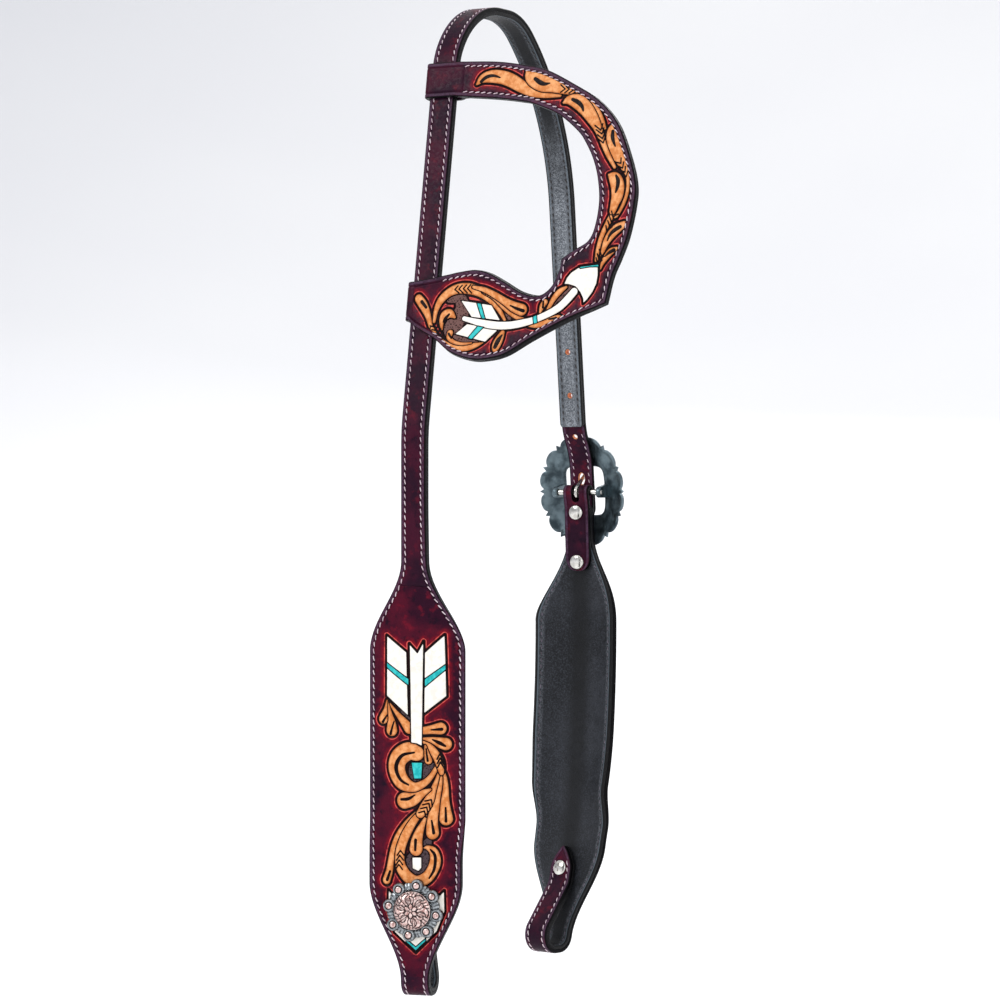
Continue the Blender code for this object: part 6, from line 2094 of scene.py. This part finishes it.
@dataclass
class BerryConcho:
    """A cast concho with its post hidden behind it and its cross-head screw inside the cheek."""

    straps: Straps
    finishes: Finishes
    side: Side
    dome_radius: float = 11.0
    dome_rise: float = 3.6
    rim_rise: float = 3.2
    base_radius: float = 13.8
    segments: int = 192
    rope_past: float = 0.45
    rope_strands: int = 36
    skirt_past: float = 0.9
    bore_radius: float = 4.35
    berry_ring: float = 0.0141
    berry_radius: float = 0.0038
    berry_height: float = 0.0044
    berry_count: int = 8
    berry_phase: float = math.radians(35.5)

    def build(self) -> None:
        """Builds and dresses the concho and its screw."""
        near = self.side is Side.NEAR
        label = self.side.value
        body = Body.CROWN if near else Body.FAR_CHEEK
        pose = self.straps.concho_pose(self.side)
        seat = pose @ Matrix.Translation((0.0, 0.0, SEAM_GAP))
        pewter = self.finishes.pewter
        dress(self._plate(f"{label}_concho_casting", seat), body, Slot.PEWTER, pewter, [f"{label}_concho"])
        berries = self._berry(f"{label}_concho_berries")
        RingOf().set_round(berries, self.berry_count, self.berry_ring, self.berry_phase, pewter)
        berries.data.transform(seat)
        dress(berries, body, Slot.PEWTER, pewter)
        screw = self._screw(f"{label}_cross_head_screw", pose)
        dress(screw, Body.NEAR_SCREW if near else Body.FAR_SCREW, Slot.NICKEL, self.finishes.nickel,
              [f"{label}_concho_screw"])

    def _carving(self) -> Drawing:
        """Scrolls round a small flower, all drawn for this concho."""
        shapes = []
        for turn in range(6):
            angle = math.tau * turn / 6
            shapes.append(self._leaf(angle, ((4.0, 0.00, 0.5), (6.0, 0.16, 1.0), (7.9, 0.10, 1.25), (9.2, -0.10, 0.9),
                                             (9.4, -0.32, 0.35))))
            shapes.append(self._leaf(angle + 0.46, ((4.2, 0.0, 0.35), (5.8, -0.10, 0.75), (7.0, -0.02, 0.85),
                                                    (7.6, 0.12, 0.4))))
        for turn in range(6):
            angle = math.tau * (turn + 0.5) / 6
            shapes.append(self._leaf(angle, ((0.9, 0.0, 0.5), (2.4, 0.0, 1.15), (3.4, 0.0, 0.75))))
        shapes.append(Shape(Ink.LEAF, ((0.0, 0.0, 0.9), (0.01, 0.0, 0.9))))
        return Drawing(shapes, outline=0.16)

    def _leaf(self, angle: float, line: Sequence[Triple]) -> Shape:
        """A leaf whose points are given as radius, turn from its angle, and half width."""
        return Shape(Ink.LEAF, tuple(
            (radius * math.cos(angle + turn), radius * math.sin(angle + turn), half) for radius, turn, half in line))

    def _engraving(self, radius: Array, turn: Array) -> tuple[Array, Array]:
        """Depth and darkness of what is cut into the dome: scrolls on a hatched ground."""
        drawn = self._carving().on(np.stack([radius * np.cos(turn), radius * np.sin(turn)], -1))
        on_dome = radius <= self.dome_radius - 0.5
        ground = np.clip(drawn["pattern"] / 0.35, 0, 1)
        swirl = np.cos(turn * 34 + 9.0 * np.log(1 + radius / 3.0))
        hatch = np.clip(swirl * 1.6 - 0.2, 0, 1) * np.clip(radius / 4, 0, 1)
        outline = 1 - ease((drawn["line"] + 0.02) / 0.28)
        cut = 0.12 * ground + 0.10 * ground * hatch + 0.22 * outline
        dark = np.clip(0.20 * ground + 0.30 * ground * hatch + 0.55 * outline, 0, 1)
        return np.where(on_dome, cut, 0.0), np.where(on_dome, dark, 0.0)

    def _skirt(self, radius: Array, turn: Array) -> tuple[Array, Array, Array]:
        """Height, darkness and outward spread of the ribbed lobes under the berries."""
        start = self.dome_radius + self.skirt_past
        share = np.clip((radius - start) / (self.base_radius - start), 0, 1)
        phase = (turn - self.berry_phase) * self.berry_count
        lobe = 0.5 + 0.5 * np.cos(phase + math.pi)
        rib = np.cos(phase * 5) * lobe * share
        height = 2.7 - share + 0.5 * lobe * np.sin(share * math.pi) + 0.22 * rib
        return height, 0.55 - 0.35 * lobe - 0.35 * rib, 1 + 0.13 * lobe * share ** 1.5

    def _plate(self, name: str, pose: Matrix) -> Object:
        """The engraved dome, its rope rim and the leafy skirt under the berries."""
        dome_end, skirt_from = self.dome_radius, self.dome_radius + self.skirt_past
        radii = np.concatenate([
            np.linspace(0.02, dome_end, 60), dome_end + np.array([0.12, 0.25, 0.4, 0.55, 0.7, 0.85]),
            np.linspace(dome_end + 1.1, self.base_radius, 9),
        ])
        angle = np.linspace(0, math.tau, self.segments, endpoint=False)
        radius, turn = np.meshgrid(radii, angle, indexing="ij")
        cut, hollow = self._engraving(radius, turn)
        dome = self.rim_rise + self.dome_rise * (1 - np.clip(radius / dome_end, 0, 1) ** 3.2) ** 0.55 - cut
        from_rope = radius - (dome_end + self.rope_past)
        rope = 0.30 * np.cos(turn * self.rope_strands + from_rope * 4.0) * bell(from_rope, 0.42)
        ridge = self.rim_rise - 0.1 + 0.45 * bell(from_rope, 0.38) + rope
        skirt, skirt_dark, spreading = self._skirt(radius, turn)
        on_rope, on_skirt = (radius > dome_end) & (radius < skirt_from), radius >= skirt_from
        height = np.select([on_rope, on_skirt], [ridge, skirt], dome)
        hollow = np.maximum(hollow, bell(radius - dome_end - 0.02, 0.18))
        hollow = np.maximum(hollow, np.select([on_rope, on_skirt], [0.55 - rope * 1.6, skirt_dark], 0.0))
        copper = (radius <= dome_end - 0.3).astype(float)
        x, y = radius * spreading * np.cos(turn), radius * spreading * np.sin(turn)
        top = np.stack([x, y, height], -1)
        low = np.stack([top[-1] * (1, 1, 0) + (0, 0, 0.25), top[-1] * (0.98, 0.98, 0)], 0)
        bore = np.stack([np.cos(angle) * self.bore_radius, np.sin(angle) * self.bore_radius, 0 * angle], -1)[None]
        rings = np.vstack([top, low, bore]) * MM
        carried = {
            "copper": np.vstack([copper, np.zeros((3, self.segments))]),
            "hollow": np.vstack([np.clip(hollow, 0, 1), np.full((3, self.segments), 0.5)]),
        }
        made = loft(name, rings, carried, inward=True, smooth_angle=65)
        made.data.transform(pose)
        return made

    def _berry(self, name: str) -> Object:
        """One berry: a pewter cup with a raised copper centre."""
        radius, height = self.berry_radius, self.berry_height
        profile = [
            (0.0, height), (radius * 0.20, height - 0.00004), (radius * 0.38, height - 0.00022),
            (radius * 0.48, height - 0.00055), (radius * 0.54, height - 0.00085), (radius * 0.62, height - 0.00062),
            (radius * 0.74, height - 0.00056), (radius * 0.88, height - 0.00095), (radius * 0.98, height - 0.0018),
            (radius, height - 0.0028), (radius * 0.97, 0.0002), (0.0, 0.0002),
        ]
        copper = [1, 1, 1, 0.8, 0, 0, 0, 0, 0, 0, 0, 0]
        hollow = [0, 0, 0.10, 0.5, 1.0, 0.35, 0.1, 0.1, 0.3, 0.5, 0.7, 0.7]
        return turned(name, profile, 24, carried={"copper": copper, "hollow": hollow})

    def _screw(self, name: str, pose: Matrix) -> Object:
        """The cross-head screw whose head lies inside the cheek."""
        seat = -2 * (STRAP_THICKNESS + SEAM_GAP)
        radius, rise, shank, long, narrow = 0.0046, 0.0022, 0.0062, 0.0024, 0.0005
        wide = np.linspace(0.98, 0.0, 10)
        dome = [(radius * share, seat - rise * (0.42 + 0.58 * (1 - share ** 2.4))) for share in wide]
        profile = [(0.0, seat + shank), (0.0013, seat + shank), (0.0014, seat + shank - 0.0002), (0.0014, seat),
                   (radius * 0.97, seat), (radius, seat - rise * 0.12), (radius, seat - rise * 0.34), *dome]
        screw = turned(name, profile, 40)
        low, high = seat - rise - 0.001, seat - rise + 0.0009
        cutters = [block(label, (-x, -y, low), (x, y, high), Matrix())
                   for label, x, y in (("arm_a", long, narrow), ("arm_b", narrow, long))]
        punch(screw, cutters)
        discard(cutters)
        screw.data.set_sharp_from_angle(angle=math.radians(40))
        screw.data.transform(pose)
        return screw


SIDEWAYS = Matrix.Rotation(math.pi / 2, 4, "Y")


@dataclass
class PlateBuckle:
    """The scalloped plate with its window and lugs, its bar and its tongue. Local Y is up the strap."""

    straps: Straps
    finishes: Finishes
    half_width: float = 0.0264
    half_height: float = 0.0314
    thickness: float = 0.0018
    dish: float = 0.0055
    clearance: float = 0.0005
    lobes: int = 12
    lobe_rise: float = 0.0028
    spike_rise: float = 0.0026
    window: Span = (0.0133, 0.0150)
    lug_thickness: float = 0.0030
    lug_radius: float = 0.0034
    bar_radius: float = 0.0018
    wire: float = 0.0012
    tongue_reach: float = 0.0210
    bend_above: float = 0.0120
    tongue_wrap: float = math.radians(258)
    lobe_half: float = 0.38
    sharp_angle: float = 45

    def __post_init__(self) -> None:
        """Finds the bar's pose."""
        self.pose = frame_on((*self.straps.bar, -math.pi / 2 + self.straps.far_slope))

    def build(self) -> None:
        """Builds and dresses the three pieces."""
        finishes = self.finishes
        dress(self._plate(), Body.CROWN, Slot.GUNMETAL, finishes.gunmetal, ["buckle_plate"])
        dress(self._bar(), Body.CROWN, Slot.NICKEL, finishes.nickel, ["buckle_bar"])
        dress(self._tongue(), Body.TONGUE, Slot.NICKEL, finishes.nickel, ["buckle_tongue"])

    def _under(self, x: object, up: object) -> object:
        """Height of the plate's leather side over the bar's axis."""
        outer = self.straps.chape_radius + OUTER_LEATHER
        crown = outer + 0.0005 + OUTER_LEATHER + self.clearance + self.dish * (0.0215 / self.half_height) ** 2
        return crown - self.dish * ((x / self.half_width) ** 2 + (up / self.half_height) ** 2)

    def _outline(self, angle: Array, phase: Array) -> tuple[Array, Array]:
        """Radius of the rounded window and of the scalloped rim at each angle."""
        c, s = np.cos(angle), np.sin(angle)
        opening = (np.abs(c / self.window[0]) ** 6 + np.abs(s / self.window[1]) ** 6) ** (-1 / 6)
        oval = 1 / np.hypot(c / self.half_width, s / self.half_height)
        lobe = self.lobe_rise * np.sqrt(np.clip(1 - (phase / self.lobe_half) ** 2, 0, None))
        spike = self.spike_rise * np.clip(phase - self.lobe_half, 0, None) / (0.5 - self.lobe_half)
        return opening, oval + np.where(phase < self.lobe_half, lobe, spike)

    def _casting(self) -> Object:
        """The plate's skin: engraved lobes, a rope and beads in front, and dull ribs behind."""
        segments = self.lobes * 20
        angle = np.linspace(0, math.tau, segments, endpoint=False)
        phase = np.abs((angle * self.lobes / math.tau) % 1.0 - 0.5)
        opening, rim = self._outline(angle, phase)
        share = np.concatenate([[0.0, 0.03, 0.08], np.linspace(0.14, 0.92, 15), [0.96, 0.985, 1.0]])[:, None]
        radius = opening[None] + (rim - opening)[None] * share
        x, up = radius * np.cos(angle), radius * np.sin(angle)
        under = self._under(x, up)
        bevel = 0.0004 * (np.clip(1 - share / 0.08, 0, 1) ** 2 + np.clip((share - 0.92) / 0.08, 0, 1) ** 2)
        petal = np.clip(1 - (phase / 0.46) ** 2, 0, 1)[None] * np.sin(np.clip((share - 0.42) / 0.5, 0, 1) * math.pi)
        rope = bell(share - 0.20, 0.07) * (0.6 + 0.4 * np.cos(angle * 60)[None])
        beads = bell(share - 0.42, 0.05) * np.clip(np.cos(angle * 36), 0, 1)[None]
        carved = 0.0005 * petal + 0.0003 * rope + 0.00035 * beads - 0.0002 * bell(share - 0.33, 0.025)
        ribs = 0.00035 * bell(share - 0.90, 0.05) + 0.0003 * bell(share - 0.10, 0.06)
        front = under + self.thickness - bevel + carved
        back = under + bevel * 0.7 - ribs + 0.0004 * petal
        dark_front = np.clip(0.75 - petal * 1.3 - rope * 0.8 - beads, 0, 1) * (share < 0.94) * (share > 0.04)
        dark_back = np.clip(0.10 + 0.12 * petal - ribs * 400, 0, 1)
        rings = np.vstack([np.stack([x, up, front], -1), np.stack([x, up, back], -1)[::-1]])
        faces = ring_faces(len(rings), segments) + closing_faces(len(rings), segments)
        return new_piece("buckle_plate_casting", rings.reshape(-1, 3), [face[::-1] for face in faces],
                         {"hollow": np.vstack([dark_front, dark_back[::-1]])}, self.sharp_angle)

    def _plate(self) -> Object:
        """The cast plate with its two lugs, bored for the bar."""
        plate, lugs = self._casting(), self._lugs()
        for lug in lugs:
            step = plate.modifiers.new("Lug", "BOOLEAN")
            step.operation, step.solver, step.object = "UNION", "EXACT", lug
        bore = rod("bar_bore", self.bar_radius + SEAM_GAP, -0.03, 0.03, SIDEWAYS, segments=40)
        punch(plate, [bore])
        discard([*lugs, bore])
        plate.data.set_sharp_from_angle(angle=math.radians(self.sharp_angle))
        plate.data.transform(self.pose)
        return plate

    def _lugs(self) -> list[Object]:
        """The two cast ears that hold the bar."""
        inner = self.window[0] + SEAM_GAP
        outer = inner + self.lug_thickness
        top = float(self._under(inner, 0.0)) + self.thickness / 2
        angle = np.linspace(math.pi, math.tau, 17)
        curve = [(math.cos(a) * self.lug_radius, math.sin(a) * self.lug_radius) for a in angle]
        profile = np.array([*curve, (self.lug_radius * 1.25, top), (-self.lug_radius * 1.25, top)])
        made = []
        for side in (-1, 1):
            edges = [(inner, 0.93), (inner + 0.0004, 1.0), (outer - 0.0004, 1.0), (outer, 0.93)]
            rings = np.array([[(side * x, u * tight, v * (tight if v < 0 else 1.0)) for u, v in profile]
                              for x, tight in edges])
            made.append(loft(f"lug_{side}", rings, inward=side < 0))
        return made

    def _bar(self) -> Object:
        """The bar with its two riveted ends."""
        radius = self.bar_radius
        outer = self.window[0] + SEAM_GAP + self.lug_thickness
        ends = [(0.0, outer), (radius * 0.6, outer - 0.00006), (radius * 0.9, outer - 0.0003),
                (radius, outer - 0.0007)]
        middle = [(radius, z) for z in np.linspace(outer - 0.002, -outer + 0.002, 9)]
        profile = ends + middle + [(r, -z) for r, z in ends[::-1]]
        return turned("buckle_bar_turned", profile, 32, self.pose @ SIDEWAYS)

    def _tongue(self) -> Object:
        """Round wire with its eye rolled round the bar and a tapered point on the plate."""
        half, gap = self.wire, self.clearance
        eye = self.bar_radius + SEAM_GAP + half
        reach, bend = self.tongue_reach, self.bend_above
        on_plate = self._under(0.0, reach) + self.thickness + gap + half
        at_window = self._under(0.0, self.window[1]) + self.thickness + gap + half
        over = at_window + (at_window - on_plate) / (reach - self.window[1]) * (self.window[1] - bend)
        swing = math.acos(eye / math.hypot(over, bend))
        start = math.atan2(over, bend) - swing
        turns = start - self.tongue_wrap * np.linspace(0, 1, 40)
        ring = np.column_stack([eye * np.cos(turns), eye * np.sin(turns)])
        t = np.linspace(0, 1, 14)[:-1, None]
        knee, tip = np.array([(bend, over)]), np.array([(reach, on_plate)])
        line = np.vstack([tip + (knee - tip) * t, knee + (ring[:1] - knee) * t, ring])
        kernel = np.array([0.25, 0.5, 0.25])
        for _ in range(6):
            even = np.stack([np.convolve(line[:, n], kernel, "same")[1:-1] for n in (0, 1)], -1)
            line[1:-1] = even * 0.6 + line[1:-1] * 0.4
        path = np.column_stack([np.zeros(len(line)), line])
        radius = np.full(len(path), half)
        radius[:6] = half * np.array([0.35, 0.72, 0.88, 0.95, 0.98, 1.0])
        made = swept("buckle_tongue_wire", path, radius, 20)
        made.data.transform(self.pose)
        return made


@dataclass
class Studio:
    """Plain pale floor that curves up all round, soft lights, and the photograph's camera."""

    floor_height: float = -0.64
    flat_radius: float = 0.8
    curve_radius: float = 6.0
    segments: int = 96
    camera_distance: float = 2.053
    camera_height: float = -0.282
    camera_turn: float = math.radians(30)
    view_width: float = 0.585

    def build(self) -> None:
        """Sets the scene round the headstall."""
        self._floor()
        self._lights()
        self._camera()

    def _floor(self) -> None:
        """A bowl whose flat middle is the floor."""
        flat, bend, count = self.flat_radius, self.curve_radius, self.segments
        line = [(0.001, 0.0), (0.5, 0.0), (flat, 0.0)]
        line += [(flat + bend * math.sin(a), bend * (1 - math.cos(a))) for a in np.linspace(0.04, 1.0, 24)]
        radii = np.array(line)
        angle = np.linspace(0, math.tau, count, endpoint=False)
        points = np.stack([radii[:, :1] * np.cos(angle), radii[:, :1] * np.sin(angle),
                           np.repeat(radii[:, 1:], count, 1) + self.floor_height], -1)
        faces = ring_faces(len(radii), count) + [list(range(count))[::-1]]
        bowl = new_piece("studio_floor", points.reshape(-1, 3), faces, None, None)
        bench = Bench("matt_pale_paper")
        cloud = bench.noise(900, 2)
        colour = bench.mix(bench.ramp(cloud, 0.3, 0.7), "#FAFAFB", "#F6F6F8")
        # Painted shade: the paper greys towards the upper left of the camera's view and upward.
        along = add(bench.tree, "ShaderNodeVectorMath", {0: bench.place, 1: (-0.87, -0.5, 0.75)},
                    operation="DOT_PRODUCT").outputs["Value"]
        colour = bench.mix(bench.ramp(along, -0.3, 2.6), colour, "#D2D3D8")
        bowl.data.materials.append(bench.finish(colour, 0.9, bench.bump(bench.noise(4, 2), 0.05)))
        bowl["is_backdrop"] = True

    def _lights(self) -> None:
        """World light and four soft panels that the camera doesn't see."""
        world = bpy.data.worlds.new("soft_room")
        world.use_nodes = True
        back = world.node_tree.nodes["Background"]
        back.inputs["Color"].default_value = linear("#F7F8FA")
        back.inputs["Strength"].default_value = 1.0
        bpy.context.scene.world = world
        for name, place, size, power in (
            ("key_panel", (-1.3, -2.2, 1.3), 1.1, 30.0),
            ("fill_panel", (2.6, -1.6, 0.7), 1.2, 13.0),
            ("top_panel", (0.1, 0.3, 2.2), 1.6, 15.0),
            ("back_panel", (-0.6, 2.6, 0.9), 1.6, 15.0),
        ):
            data = bpy.data.lights.new(name, "AREA")
            data.shape, data.size, data.energy = "DISK", size, power
            light = bpy.data.objects.new(name, data)
            light.location = place
            light.visible_camera = False
            aim = Vector((0.0, 0.0, -0.28)) - Vector(place)
            light.rotation_euler = aim.to_track_quat("-Z", "Y").to_euler()
            bpy.context.scene.collection.objects.link(light)

    def _camera(self) -> None:
        """The photograph's viewpoint: level, thirty degrees round from the near side."""
        data = bpy.data.cameras.new("photo_camera")
        data.sensor_width = 36
        data.lens = data.sensor_width * self.camera_distance / self.view_width
        data.shift_x, data.clip_end = 0.006, 50
        bpy.context.scene.view_settings.view_transform = "Standard"
        camera = bpy.data.objects.new("photo_camera", data)
        turn, away = self.camera_turn, self.camera_distance
        camera.location = (math.sin(turn) * away, -math.cos(turn) * away, self.camera_height)
        camera.rotation_euler = (math.pi / 2, 0, turn)
        bpy.context.scene.collection.objects.link(camera)
        bpy.context.scene.camera = camera


def plate_posts(frame: dict, finish: Material) -> None:
    """Gives the four posts, whose CAD shape is right, the nickel finish."""
    for name in ("near_concho_post", "far_concho_post", "upper_rivet_post", "lower_rivet_post"):
        node = frame["nodes"][name]
        for place in node.material_slots:
            place.material = finish
        if not node.data.materials:
            node.data.materials.append(finish)


def corners(pair: tuple[Vector, Vector]) -> list[list[float]]:
    """A box's corners as plain lists."""
    return [[float(value) for value in corner] for corner in pair]


def main() -> None:
    """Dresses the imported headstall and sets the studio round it."""
    logging.basicConfig(level=logging.INFO, format="%(name)s: %(message)s")
    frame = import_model()
    solids = corners(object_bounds())
    Studio().build()
    straps, finishes = Straps(), Finishes()
    CrownStrap(straps, finishes).build()
    FarCheekStrap(straps, finishes).build()
    EarPiece(straps, finishes).build()
    for side in Side:
        BerryConcho(straps, finishes, side).build()
    PlateBuckle(straps, finishes).build()
    plate_posts(frame, finishes.nickel)
    bpy.context.view_layer.update()
    looks = corners(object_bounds())
    LOG.info("CAD box %s, visual box %s", solids, looks)


if __name__ == "__main__":
    main()
